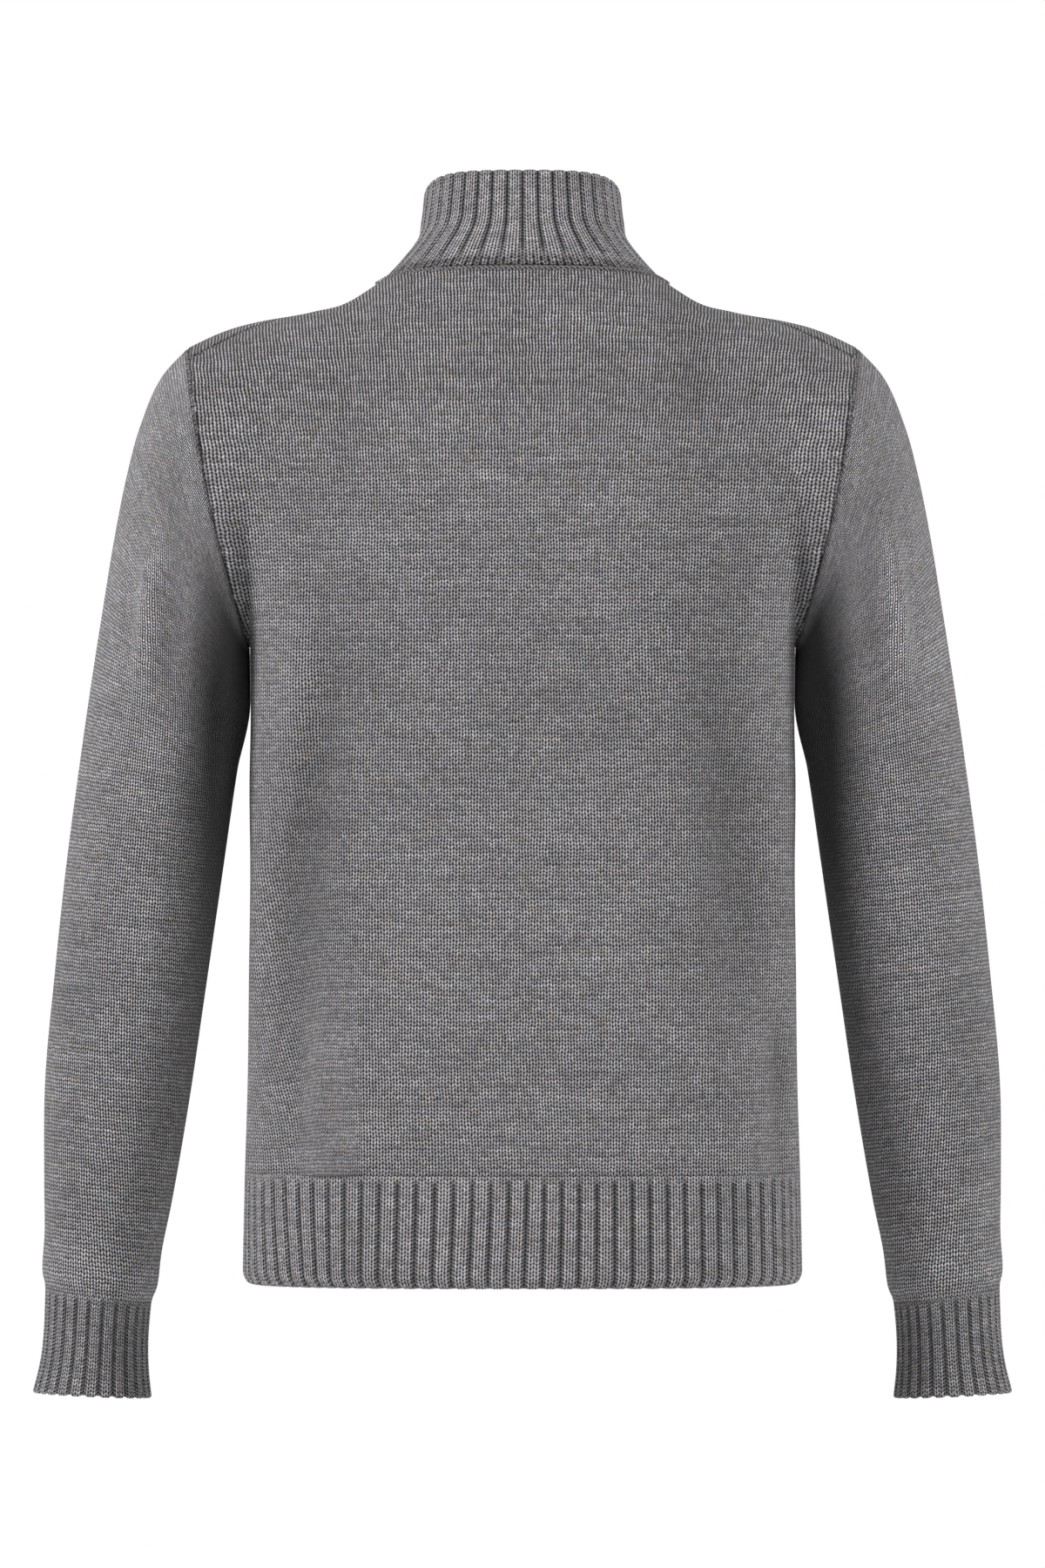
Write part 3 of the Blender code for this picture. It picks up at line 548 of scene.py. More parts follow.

CREASES = table("side line_top line_bottom top bottom width height", [
    (1, 0.108, 0.156, -0.160, -0.500, 0.016, -0.0030),
    (1, 0.138, 0.150, -0.170, -0.360, 0.012, 0.0025),
    (1, 0.124, 0.122, -0.430, -0.590, 0.012, 0.0036),
    (1, 0.142, 0.138, -0.400, -0.575, 0.009, -0.0026),
    (1, -0.150, -0.151, -0.430, -0.590, 0.008, 0.0020),
    (1, -0.161, -0.161, -0.430, -0.590, 0.006, -0.0020),
    (1, -0.111, -0.150, -0.180, -0.580, 0.018, -0.0026),
    (1, 0.150, 0.112, -0.100, -0.260, 0.012, -0.0018),
    (1, 0.060, 0.082, -0.300, -0.560, 0.030, 0.0016),
    (1, -0.050, -0.075, -0.250, -0.545, 0.034, 0.0015),
    (1, -0.092, -0.124, -0.150, -0.520, 0.015, 0.0018),
    (1, -0.148, -0.116, -0.100, -0.280, 0.013, -0.0018),
    (1, -0.020, 0.014, -0.080, -0.300, 0.040, -0.0012),
    (-1, 0.146, 0.104, -0.140, -0.340, 0.016, -0.0022),
    (-1, -0.150, -0.108, -0.150, -0.320, 0.017, -0.0022),
    (-1, 0.060, 0.074, -0.280, -0.540, 0.030, 0.0016),
    (-1, -0.058, -0.080, -0.240, -0.500, 0.032, 0.0016),
])
print("the body has", len(FOLDS), "folds and", len(CREASES), "creases")

# %% Gathered stitches
# The stitches themselves drift aside where cloth is gathered: so many wales at the middle of a bell.
DRIFT = table("side x z width height wales", [
    (1, 0.152, -0.650, 0.030, 0.060, 2.4),
    (1, 0.150, -0.390, 0.024, 0.060, 2.2),
    (1, -0.145, -0.330, 0.030, 0.080, -1.5),
    (1, 0.020, -0.560, 0.060, 0.060, 0.8),
    (1, -0.060, -0.200, 0.050, 0.090, -0.8),
    (-1, 0.140, -0.550, 0.026, 0.090, 3.5),
    (-1, 0.135, -0.300, 0.030, 0.080, -1.6),
    (-1, 0.070, -0.430, 0.030, 0.100, 0.8),
])
print("the stitches drift at", len(DRIFT), "places")


def drift(points, side):
    """Wales by which the stitches at points of one side of the body have moved."""
    x, z = points[..., 0], points[..., 2]
    return sum(row["wales"] * bell(x - row["x"], row["width"]) * bell(z - row["z"], row["height"])
               for row in DRIFT[DRIFT["side"] == side])


def gathered(points):
    """Wales and rows by which the stitches move where the back is pulled aside over its hem.

    Going down from the waist, up to 13 wales slip behind the low ridge on the left and 3 on the right, so
    the wales lean there. Rows rise by up to 4 beside that ridge.
    """
    x, z = points[..., 0], points[..., 2]
    down = ease((-0.355 - z) / 0.21)
    wales = down * (13 * ease((x - 0.099) / 0.044) - 3 * ease((-0.140 - x) / 0.020))
    rows = 4 * ease((x - 0.118) / 0.05) * bell(z + 0.470, 0.075)
    return np.stack([wales, rows], axis=-1)


def hollows(points, side):
    """Painted shade of one side: 1 in a full trough of its folds and creases, painted light below 0 on a
    ridge.
    """
    height = body_ridges(FOLDS, points, side) + body_ridges(CREASES, points, side)
    return np.clip(-height / FULL_TROUGH, -0.5, 1.0)


# %% The stitch map of the body
BODY_WALE = 0.00376
LOWER_HEIGHTS = np.linspace(HEM_RIB_TOP, UNDERARM, 97)
RISE = places(0.245, 0.0034, end=True)


def level_distance(points):
    """Distance of each point from the first column, measured along the cloth at the point's own height."""
    out = np.zeros(points.shape[:2])
    for i in range(1, points.shape[1]):
        height = points[:, i, 2]
        line = np.stack([[np.interp(height, points[:, k, 2], points[:, k, axis]) for axis in (0, 1)]
                         for k in range(i + 1)])
        out[:, i] = np.hypot(*np.diff(line, axis=0).transpose(1, 0, 2)).sum(axis=0)
    return out


def body_stitch(left, first_wale=0.0):
    """Stitch map of a half panel whose wales stay upright and whose rows stay level.

    The shaped edges cut them off. A wale number is (x + 0.3 (1 - s) (a - x)) / w, with x the distance
    sideways, a the distance along the cloth at the same height, w the width of a wale and s rising from 0 at
    the underarm to 1 at the neck, where w is a little more. Rows are counted by height, and by length where
    cloth lies on the shoulder.
    """
    foot = len(LOWER_HEIGHTS) - 1
    level = level_distance(left)
    upper = ease((left[:, 0, 2] - UNDERARM) / (left[-1, 0, 2] - UNDERARM))[:, None]
    straight = left[..., 0] - left[:, :1, 0]
    across = (straight + 0.3 * (1 - upper) * (level - straight)) / (BODY_WALE * (1 + 0.09 * upper ** 2))
    steps = np.diff(left[foot:], axis=0)
    over = ease((left[foot + 1:, :, 2] + 0.10) / 0.08)
    rise = (steps[..., 2] + (np.hypot(steps[..., 1], steps[..., 2]) - steps[..., 2]) * over).cumsum(axis=0)
    rows = np.repeat(arc_length(left, 0).mean(axis=1)[:, None], left.shape[1], axis=1)
    rows[foot + 1:] = rows[foot] + rise
    return np.stack([first_wale + across, rows / COURSE], axis=-1)


# %% The panels of the body
back_across = places(0.225, WALE, end=True)
back_left = half_panel(1, back_across, LOWER_HEIGHTS, RISE)
back_points = both_halves(back_left)
back_stitch = both_halves(body_stitch(back_left), -1.0)
back_stitch[..., 0] += drift(back_points, 1)
back_stitch += gathered(back_points)
back = knit_panel("knit_back", back_points, back_stitch, "top left right",
                  relief=body_ridges(CREASES, back_points, 1), seam="top left right",
                  hollow=hollows(back_points, 1))

front_across = places(0.205, WALE, start=True, end=True)
front_points = half_panel(-1, front_across, LOWER_HEIGHTS, RISE)
front_stitch = body_stitch(front_points, FRONT_FIRST_WALE)
front_stitch[..., 0] += drift(front_points, -1)
fronts = {}
for side, sign in (("left", 1), ("right", -1)):
    points = front_points if sign > 0 else mirrored(front_points)
    fronts[side] = knit_panel("knit_front_" + side, points, front_stitch * [sign, 1.0],
                              "top left right", relief=body_ridges(CREASES, points, -1), seam="top right",
                              hollow=hollows(points, -1))

# %% [markdown]
# ## Ribs
# Hem, cuffs and collar are knitted two by one: two plain wales stand forward as a rounded rib, and the one
# purl wale between sinks into a groove. At this size that is real relief, so it is in the mesh: with twelve
# columns to a rib the groove's walls come out soft. On the way into plain knitting the relief fades in a few
# rows. The ends of the ribs stand out a little further than the grooves, which gives a wavy edge.

# %% Rib relief
RIB_COLUMNS = 12        # columns of the grid in one rib of three wales


def rib_relief(wale, depth, groove=0.15, wall=0.8, split=0.12):
    """Height of a rib: a smooth wall from the groove to the rib's top, with a slight split in its middle.

    With g the distance from the groove's middle in wales, height = depth (ease((g - groove) / wall) - 1)
    - split depth bell(1.5 - g). The grooves lie at every third wale from 0.
    """
    from_groove = np.abs((wale + 1.5) % 3 - 1.5)
    rise = ease((from_groove - groove) / wall)
    return depth * (rise - 1 - split * bell(1.5 - from_groove, 0.3))


def rib_ends(wale, reach, amount, down):
    """A slide along `down` that lengthens the ribs and shortens the grooves where `reach` is near 0."""
    near = ease(1 - reach)
    out = (rib_relief(wale, 1.0, split=0.0) + 0.6) * near * amount
    return out[..., None] * np.asarray(down)


# %% Hem ribs
HEM_RIB_DEPTH, HEM_ROLL = 0.0017, 0.009
hem_heights = BODY["height"][0] + (HEM_RIB_TOP - BODY["height"][0]) * places(0.070, 0.0024, start=True)


def hem_rib(name, points, wales):
    """A hem rib panel: relief fades out over 6 mm below the seam, and the lower edge draws in.

    slide = 0.7 r (1 - sqrt(1 - (1 - h / r)^2)) toward the body's axis at a height h under r over the edge.
    """
    from_top = HEM_RIB_TOP - points[..., 2]
    from_edge = points[..., 2] - BODY["height"][0]
    stitch = np.stack([wales, -from_top / COURSE], axis=-1)
    ribs = ease(from_top / 0.006)
    relief = rib_relief(wales, HEM_RIB_DEPTH, groove=0.0, wall=0.75) * ribs
    inward = unit(points * [-1.0, -1.0, 0.0])
    pull = 1 - np.sqrt(1 - np.clip(1 - from_edge / HEM_ROLL, 0.0, 1.0) ** 2)
    slide = (rib_ends(wales, from_edge / 0.006, 0.0004, (0.0, 0.0, -1.0))
             + 0.7 * HEM_ROLL * pull[..., None] * inward)
    return knit_panel(name, points, stitch, "bottom left right", relief=relief, slide=slide, ribs=ribs)


hem_across = np.linspace(0.0, 1.0, HALF_BACK_WALES // 3 * RIB_COLUMNS + 1)
hem_left = level_rows(1, hem_across, hem_heights)
hem_points = both_halves(hem_left)
hem_wales = np.broadcast_to(np.concatenate([-hem_across[:0:-1], hem_across]) * HALF_BACK_WALES,
                            hem_points.shape[:2]) + drift(hem_points, 1)
hem_back = hem_rib("knit_hem_back", hem_points, hem_wales)

hem_across = np.linspace(0.0, 1.0, HALF_FRONT_WALES // 3 * RIB_COLUMNS + 1)
hem_points = level_rows(-1, hem_across, hem_heights)
hem_wales = FRONT_FIRST_WALE + hem_across * HALF_FRONT_WALES + drift(hem_points, -1)
hem_fronts = {
    "left": hem_rib("knit_hem_front_left", hem_points, hem_wales),
    "right": hem_rib("knit_hem_front_right", mirrored(hem_points), -hem_wales),
}

# %% [markdown]
# ## The collar
# The collar is picked up round the neck and knitted straight up, so its ribs fan out at the bottom, where
# the neck seam is longer, and close up at the top. The relief follows: flat and open at the seam, deep above.

# %% Collar
HALF_COLLAR_WALES = 57
COLLAR_RIB_DEPTH = 0.0019

collar_share = np.linspace(0.0, 1.0, HALF_COLLAR_WALES // 3 * RIB_COLUMNS + 1)
collar_up = places(0.080, 0.0021, start=True, end=True)[:, None]
collar_left = collar_ring(collar_turn(collar_share[None, :], collar_up), collar_up)
collar_points = both_halves(collar_left)
collar_rows = arc_length(collar_left, 0).mean(axis=1) / COURSE
collar_stitch = np.stack(np.meshgrid(collar_share * HALF_COLLAR_WALES, collar_rows), axis=-1)
collar_stitch = both_halves(collar_stitch, -1.0)
collar_wales = collar_stitch[..., 0]
collar_ribs = 0.30 + 0.70 * ease((collar_up - 0.03) / 0.22)
collar = knit_panel("knit_collar", collar_points, collar_stitch, "bottom top left right",
                    relief=rib_relief(collar_wales, COLLAR_RIB_DEPTH * collar_ribs, groove=0.0, wall=0.7),
                    seam="bottom", seam_reach=0.0062, ribs=collar_ribs,
                    slide=rib_ends(collar_wales, (1 - collar_up) / 0.08, 0.0004, (0.0, 0.0, 1.0)))

# %% [markdown]
# ## Sleeves and cuffs
# A sleeve is a closed tube, knitted flat and sewn along its inner edge, so its stitches are counted from the
# outer edge both ways and break at the inner seam. Less light reaches the cloth between arm and body than a
# few lamps can show, so each point also stores a painted shade, from how deep it lies there, and the finish
# darkens it; the same value paints light on the outer arm. The cuff grips the wrist: its ribs close up until
# only a dark line is left between them, and flare at the edge.

# %% Sleeves
SLEEVE_COLUMNS = 100
UPPER_WALE, LOWER_WALE = 0.0033, 0.0036     # width of a stitch on the upper arm and on the forearm
TOUCHING_GAP = 0.0001   # between the sleeve and the side of the body under the arm
SLEEVE_CREASES = table("line_top line_bottom top bottom width height", [
    (64, 70, 0.040, 0.250, 8, 0.0055),
    (86, 92, 0.050, 0.260, 11, -0.0035),
    (118, 128, 0.060, 0.300, 15, -0.0026),
    (80, 118, 0.250, 0.470, 12, 0.0014),
    (40, 66, 0.330, 0.560, 14, -0.0014),
    (150, 120, 0.380, 0.600, 12, -0.0018),
    (-60, -95, 0.040, 0.200, 14, 0.0020),
    (-120, -140, 0.080, 0.330, 16, -0.0024),
    (-70, -120, 0.300, 0.520, 13, 0.0016),
    (-30, -60, 0.400, 0.590, 12, -0.0012),
])


def from_outer_edge(points):
    """Distance round each ring from its outer edge, negative in front; the outer edge is the middle."""
    around = arc_length(points, 1)
    return around - around[:, [around.shape[1] // 2]]


def sleeve_swell(angle, along):
    """Relief of a sleeve: its creases, the cloth that bags over the cuff, and the side that meets the body.

    Below the armhole the inner side swells until it just clears the body, and lets go over 45 mm.
    """
    bag = 0.0022 * bell(along - CUFF_START + 0.012, 0.016) * ease((CUFF_START - along) / 0.01)
    inner_x, inner_z = (column(SLEEVE, name, "along", along) for name in ("inner_x", "inner_z"))
    to_body = inner_x - column(BODY, "half_width", "height", inner_z) - TOUCHING_GAP
    meets = ease(along / 0.008) * ease((inner_z + 0.302) / 0.045) * bell(180 - np.abs(angle), 24)
    return ridges(SLEEVE_CREASES, angle, along) + bag + to_body * meets


def sleeve_hollow(angle, along, swell):
    """Painted shade of a sleeve: most on the side that faces the body and in troughs, light on the outer arm.
    """
    away = np.abs(angle)
    shaded_toward_body = ease((away - 94 - 14 * ease((along - 0.25) / 0.15)) / 50)
    shaded_toward_body = shaded_toward_body * ease(along / 0.05) * ease((0.52 - along) / 0.24)
    lit_outer_arm = ease((100 - away) / 60) * ease((0.45 - along) / 0.3)
    return np.clip(3.0 * shaded_toward_body - 0.8 * lit_outer_arm - swell / FULL_TROUGH, -1.5, 2.9)


def pair(name, points, stitch, rounded, slide=0.0, **looks):
    """A closed tube on the left arm and its mirror image on the right."""
    made = {}
    for side, sign in (("left", 1), ("right", -1)):
        flip = np.array([sign, 1.0, 1.0])
        made[side] = knit_panel(name + side, points * flip, stitch * flip[:2], rounded, slide=slide * flip,
                                centre=(points * flip)[:, :-1].mean(axis=1, keepdims=True), closed=True,
                                **looks)
    return made


sleeve_angle = np.linspace(-math.pi, math.pi, SLEEVE_COLUMNS + 1)[None, :]
sleeve_along = CUFF_START * places(CUFF_START, 0.0036, start=True)[:, None]
sleeve_points = sleeve_ring(sleeve_angle, sleeve_along)
sleeve_wale = UPPER_WALE + (LOWER_WALE - UPPER_WALE) * ease((sleeve_along - 0.35) / 0.2)
sleeve_stitch = np.stack(np.broadcast_arrays(from_outer_edge(sleeve_points) / sleeve_wale,
                                             -sleeve_along / COURSE), axis=-1)
swell = sleeve_swell(np.degrees(sleeve_angle), sleeve_along)
sleeves = pair("knit_sleeve_", sleeve_points, sleeve_stitch, "bottom", relief=swell, seam="bottom",
               hollow=sleeve_hollow(np.degrees(sleeve_angle), sleeve_along, swell))

# %% Cuffs
CUFF_RIBS = 26
CUFF_RIB_DEPTH = 0.0017


def even_ring_angles(count, along):
    """Angles from -180 to 180 degrees that cut a sleeve ring into equal lengths."""
    angle = np.linspace(-math.pi, math.pi, 2001)
    around = arc_length(sleeve_ring(angle, along), 0)
    return np.interp(np.linspace(0.0, 1.0, count + 1), around / around[-1], angle)


cuff_end = SLEEVE["along"][-1]
cuff_angle = even_ring_angles(CUFF_RIBS * RIB_COLUMNS, CUFF_START)[None, :]
cuff_along = CUFF_START + (cuff_end - CUFF_START) * places(cuff_end - CUFF_START, 0.0023, end=True)[:, None]
cuff_points = sleeve_ring(cuff_angle, cuff_along)
cuff_wales = np.linspace(-1.5 * CUFF_RIBS, 1.5 * CUFF_RIBS, CUFF_RIBS * RIB_COLUMNS + 1)[None, :]
cuff_stitch = np.stack(np.broadcast_arrays(cuff_wales, -cuff_along / COURSE), axis=-1)
cuff_down = unit(sleeve_ring(cuff_angle, cuff_end) - sleeve_ring(cuff_angle, cuff_end - 0.004))
cuff_ribs = ease((cuff_along - CUFF_START) / 0.005)
cuff_relief = rib_relief(cuff_wales, CUFF_RIB_DEPTH, groove=0.0, wall=0.75) * cuff_ribs
cuff_slide = rib_ends(cuff_wales, (cuff_end - cuff_along) / 0.006, 0.0011, cuff_down)
cuffs = pair("knit_cuff_", cuff_points, cuff_stitch, "top", relief=cuff_relief, slide=cuff_slide,
             ribs=cuff_ribs)

# %% [markdown]
# ## Front bands
# Two narrow bands run up the front edges, over hem, front and collar. The wearer's left band lies on top and
# carries the buttonholes; the right one lies under it and carries the buttons. Both follow one line, the
# front edge. The upper band is a ribbon: a place across and a level above that line. Its three ribs run up
# it, and each buttonhole is a slit pressed into the middle rib.

# %% The front line
BAND_WALE = 0.033 / 9
BUTTON_COUNT = 8
FIRST_BUTTON, LAST_BUTTON = 0.028, 0.016            # from the hem's edge and from the collar's edge

front_line = np.concatenate([level_rows(-1, np.zeros(1), hem_heights)[:-1, 0], front_points[:-1, 0],
                             collar_points[:, -1]])
front_length = arc_length(front_line, 0)
button_places = np.linspace(FIRST_BUTTON, front_length[-1] - LAST_BUTTON, BUTTON_COUNT)


def on_front_line(distance):
    """Points of the front edge at distances along it from the hem's edge."""
    return np.stack([np.interp(distance, front_length, front_line[:, i]) for i in range(3)], axis=-1)


def front_out(distance):
    """Unit normals of the bands: square to the line, taken over 12 mm so that they turn softly."""
    along = on_front_line(distance + 0.006) - on_front_line(distance - 0.006)
    return unit(np.stack([0 * along[..., 0], -along[..., 2], along[..., 1]], axis=-1))


def band_grid(across, level):
    """A ribbon along the front line: x is a place across, and it stands `level` off the line."""
    distance = front_length[-1] * places(front_length[-1], 0.0026, start=True, end=True)
    points = on_front_line(distance)[:, None, :] + level[None, :, None] * front_out(distance)[:, None, :]
    points[..., 0] = across[None, :]
    return distance[:, None], points


print("the front edge is", round(float(front_length[-1]), 3), "m long, its buttons",
      round(float(button_places[1] - button_places[0]), 3), "m apart")

# %% Both bands
band_x = np.linspace(FRONT_EDGE + BAND_TUCK, BAND_FREE_EDGE, 41)
band_x = np.sort(np.concatenate([band_x, [-0.0012, -0.0006, 0.0, 0.0006, 0.0012]]))[::-1]
band_level = BAND_RAISE * ease((FRONT_EDGE - band_x) / (FRONT_EDGE - BAND_RAMP_END))
band_along, band_points = band_grid(band_x, band_level)
band_wales = np.clip(4.5 - band_x / BAND_WALE, 0.0, 8.0)[None, :]
from_button = np.abs(band_along[..., None] - button_places).min(axis=-1)
slit = bell(band_x[None, :], 0.0007) * ease((0.0128 - from_button) / 0.0015)
band_left = knit_panel(
    "knit_buttonhole_band", band_points,
    np.stack(np.broadcast_arrays(band_wales, band_along / COURSE), axis=-1),
    "bottom top left right", relief=rib_relief(band_wales, 0.0012) - 0.0014 * slit, seam="left",
    ribs=1.0, flat_back=True)

under_x = np.linspace(-FRONT_EDGE - BAND_TUCK, UNDER_BAND_EDGE, 24)
under_along, under_points = band_grid(under_x, 0 * under_x)
band_right = knit_panel(
    "knit_button_band", under_points,
    np.stack(np.broadcast_arrays(under_x[None, :] / BAND_WALE, under_along / COURSE), axis=-1),
    "bottom top left right", seam="left", ribs=0.4)

# %% [markdown]
# ## Buttons
# Eight sew-through buttons: a turned disc with an eased rim, a shallow dish and four holes. A disc with holes
# could be cut with Booleans, but a turned grid gives smooth quads, and the holes are pits in its height.
# Thread crosses from hole to hole.

# %% Button form
BUTTON_RADIUS, BUTTON_THICKNESS, BUTTON_EASE, BUTTON_SEAT = 0.011, 0.0036, 0.0010, 0.0005
DISH_RADIUS, DISH_SLOPE, DISH_DEPTH = 0.0074, 0.0014, 0.0008
HOLE_RADIUS, HOLE_OFFSET, HOLE_DEPTH = 0.0011, 0.0021, 0.0022
HOLE_TURNS = np.radians([45.0, 135.0, 225.0, 315.0])


def button_points():
    """A button about +Z: rows from the middle of its face, over the rim, to the middle of its back.

    face height = T - dish (1 - ease((r - r_dish) / slope)) - pit ease((1.15 hole - s) / (0.35 hole)), with
    s the distance to the nearest hole's middle; the rim is a half round of radius `ease`.
    """
    rim = np.linspace(0.0, math.pi / 2, 7)
    face = np.concatenate([[0.0, 0.0005], np.linspace(0.0009, 0.0034, 22), [0.0042, 0.0052, 0.0062],
                           np.linspace(0.0070, 0.0092, 9), BUTTON_RADIUS - BUTTON_EASE * (1 - np.sin(rim))])
    fall = np.concatenate([np.zeros(36), BUTTON_EASE * (1 - np.cos(rim))])
    turn = np.linspace(0.0, 2 * math.pi, 97)[None, :]
    radius = np.concatenate([face, face[:35:-1], [0.006, 0.0]])[:, None]
    holes = HOLE_OFFSET * np.exp(1j * HOLE_TURNS)
    to_hole = np.abs(radius[..., None] * np.exp(1j * turn)[..., None] - holes).min(axis=-1)
    height = BUTTON_THICKNESS - fall - DISH_DEPTH * (1 - ease((face - DISH_RADIUS) / DISH_SLOPE))
    height = np.concatenate([height, fall[:35:-1], [0.0, 0.0]])[:, None] * np.ones_like(turn)
    on_face = (np.arange(len(radius)) < len(face))[:, None]
    height = height - on_face * HOLE_DEPTH * ease((1.15 * HOLE_RADIUS - to_hole) / (0.35 * HOLE_RADIUS))
    return np.stack([radius * np.cos(turn), radius * np.sin(turn), height], axis=-1)


def smooth_grid(name, grids):
    """One mesh from grids of points, with the doubles at rings and poles merged and normals outward."""
    sizes = np.cumsum([0] + [grid.shape[0] * grid.shape[1] for grid in grids])
    faces = [corners_of(np.arange(low, high).reshape(grid.shape[:2]))
             for grid, low, high in zip(grids, sizes, sizes[1:])]
    mesh = bpy.data.meshes.new(name)
    mesh.from_pydata(np.concatenate([grid.reshape(-1, 3) for grid in grids]).tolist(), [],
                     np.concatenate(faces).tolist())
    shape = bmesh.new()
    shape.from_mesh(mesh)
    bmesh.ops.remove_doubles(shape, verts=shape.verts, dist=1e-6)
    bmesh.ops.recalc_face_normals(shape, faces=shape.faces)
    shape.to_mesh(mesh)
    shape.free()
    return add_piece(name, mesh)


def tube(path, radius, sides=10):
    """A tube along a path: rings square to it, each end drawn to a point."""
    along = unit(np.gradient(path, axis=0))
    aside = unit(np.cross(along, [0.31, 0.22, 0.93]))
    other = np.cross(along, aside)
    turn = np.linspace(0.0, 2 * math.pi, sides + 1)[None, :, None]
    rings = path[:, None] + radius * (np.cos(turn) * aside[:, None] + np.sin(turn) * other[:, None])
    ends = [np.repeat(path[[i]][:, None], sides + 1, axis=1) for i in (0, -1)]
    return np.concatenate([ends[0], rings, ends[1]])


# %% Seat the buttons
def seated(points, place):
    """Points of a button about +Z moved to its place on the upper band."""
    out = front_out(place)
    seat = on_front_line(place) * [0.0, 1.0, 1.0] + (BAND_RAISE + BUTTON_SEAT) * out
    frame_of_button = np.stack([[1.0, 0.0, 0.0], np.cross(out, [1.0, 0.0, 0.0]), out])
    return seat + points @ frame_of_button


def thread_paths():
    """Two crossing stitches: each dives from one hole, over the dish, into the hole across."""
    s = np.linspace(-1.0, 1.0, 15)
    lift = BUTTON_THICKNESS - DISH_DEPTH - 0.0009 + 0.0014 * np.clip(1 - s ** 4, 0.0, 1.0)
    for i, turn in enumerate(HOLE_TURNS[:2]):
        reach = 1.05 * HOLE_OFFSET * s
        yield np.stack([reach * math.cos(turn), reach * math.sin(turn), lift + 0.0003 * i], axis=-1)


buttons = [smooth_grid("sewn_button_%d" % (i + 1), [seated(button_points(), place)])
           for i, place in enumerate(button_places)]
threads = smooth_grid("button_threads", [seated(tube(path, 0.00045), place)
                                         for place in button_places for path in thread_paths()])
print(len(buttons), "buttons, each with", 2 * len(buttons[0].data.polygons), "triangles")

# %% [markdown]
# ## The chain under the neck seam
# The collar is linked on with a row of chain stitches, which shows as a wavy cord just below the seam. It is
# real relief here: two strands twisted round each other along a line on the body, so it casts its own shadow.

# %% Neck chain
CHAIN_PERIOD, CHAIN_RADIUS, CHAIN_TWIST = 0.0066, 0.00045, 0.00085
CHAIN_MIDDLE, CHAIN_LOWER, CHAIN_STEP = 0.0022, 0.0034, 0.0005      # below the seam, and along the chain
CHAIN_LIFT = 0.0003


def chain_line(side, offset):
    """The left half of a line on the body that lies `offset` below the neck seam."""
    neck_end = BACK_NECK_END if side > 0 else FRONT_NECK_END
    across = np.linspace(0.0, neck_end, 120)
    near_top = 1 - offset / (3 * YOKE_ARRIVAL)
    return half_panel(side, across, np.array([UNDERARM]), np.array([0.0, near_top, 1.0]))[1]


def neck_line(offset):
    """A line round the neck below its seam, from one front edge to the other."""
    half = np.concatenate([chain_line(1, offset), chain_line(-1, offset)[-2::-1]])
    return np.concatenate([mirrored(half)[:0:-1], half])


def evenly(line, reference, spacing):
    """Points of a line at even steps of the reference line's length."""
    length = arc_length(reference, 0)
    distance = np.arange(0.0, length[-1], spacing)
    return distance, np.stack([np.interp(distance, length, line[:, i]) for i in range(3)], axis=-1)


chain_middle, chain_lower = neck_line(CHAIN_MIDDLE), neck_line(CHAIN_LOWER)
chain_distance, middle = evenly(chain_middle, chain_middle, CHAIN_STEP)
_, lower = evenly(chain_lower, chain_middle, CHAIN_STEP)
chain_down = unit(lower - middle)
chain_out = unit(np.cross(np.gradient(middle, axis=0), chain_down))
wander = 0.12 * np.sin(chain_distance / 0.0213) + 0.1 * np.sin(chain_distance / 0.0087 + 2)
strands = []
for start in (0.0, math.pi):
    turn = (2 * math.pi * (chain_distance / CHAIN_PERIOD + wander) + start)[:, None]
    strands.append(tube(middle + CHAIN_TWIST * (1.3 * np.cos(turn) * chain_down
                                                + np.sin(turn) * chain_out) + CHAIN_LIFT * chain_out,
                        CHAIN_RADIUS, sides=8))
neck_chain = smooth_grid("neck_chain", strands)
print("the chain is", round(float(chain_distance[-1]), 3), "m long")

# %% [markdown]
# ## Writing a finish
# A finish is a tree of shader nodes. Wiring them one by one hides the idea, so a small class wraps a socket
# and lets sums be written as sums: `1 - gap * 0.4` adds its own Math nodes. Colours are mixed and scaled
# through Mix and Vector Math, because a Math node would turn them grey.


# %% Shader sums
class Value:
    """A socket that carries a number; each operator adds a Math node to its finish."""

    def __init__(self, finish, socket):
        self.finish, self.socket = finish, socket

    def __add__(self, other):
        return self.finish.maths("ADD", self, other)

    def __sub__(self, other):
        return self.finish.maths("SUBTRACT", self, other)

    def __rsub__(self, other):
        return self.finish.maths("SUBTRACT", other, self)

    def __mul__(self, other):
        return self.finish.maths("MULTIPLY", self, other)

    def __abs__(self):
        return self.finish.maths("ABSOLUTE", self)

    __radd__, __rmul__ = __add__, __mul__


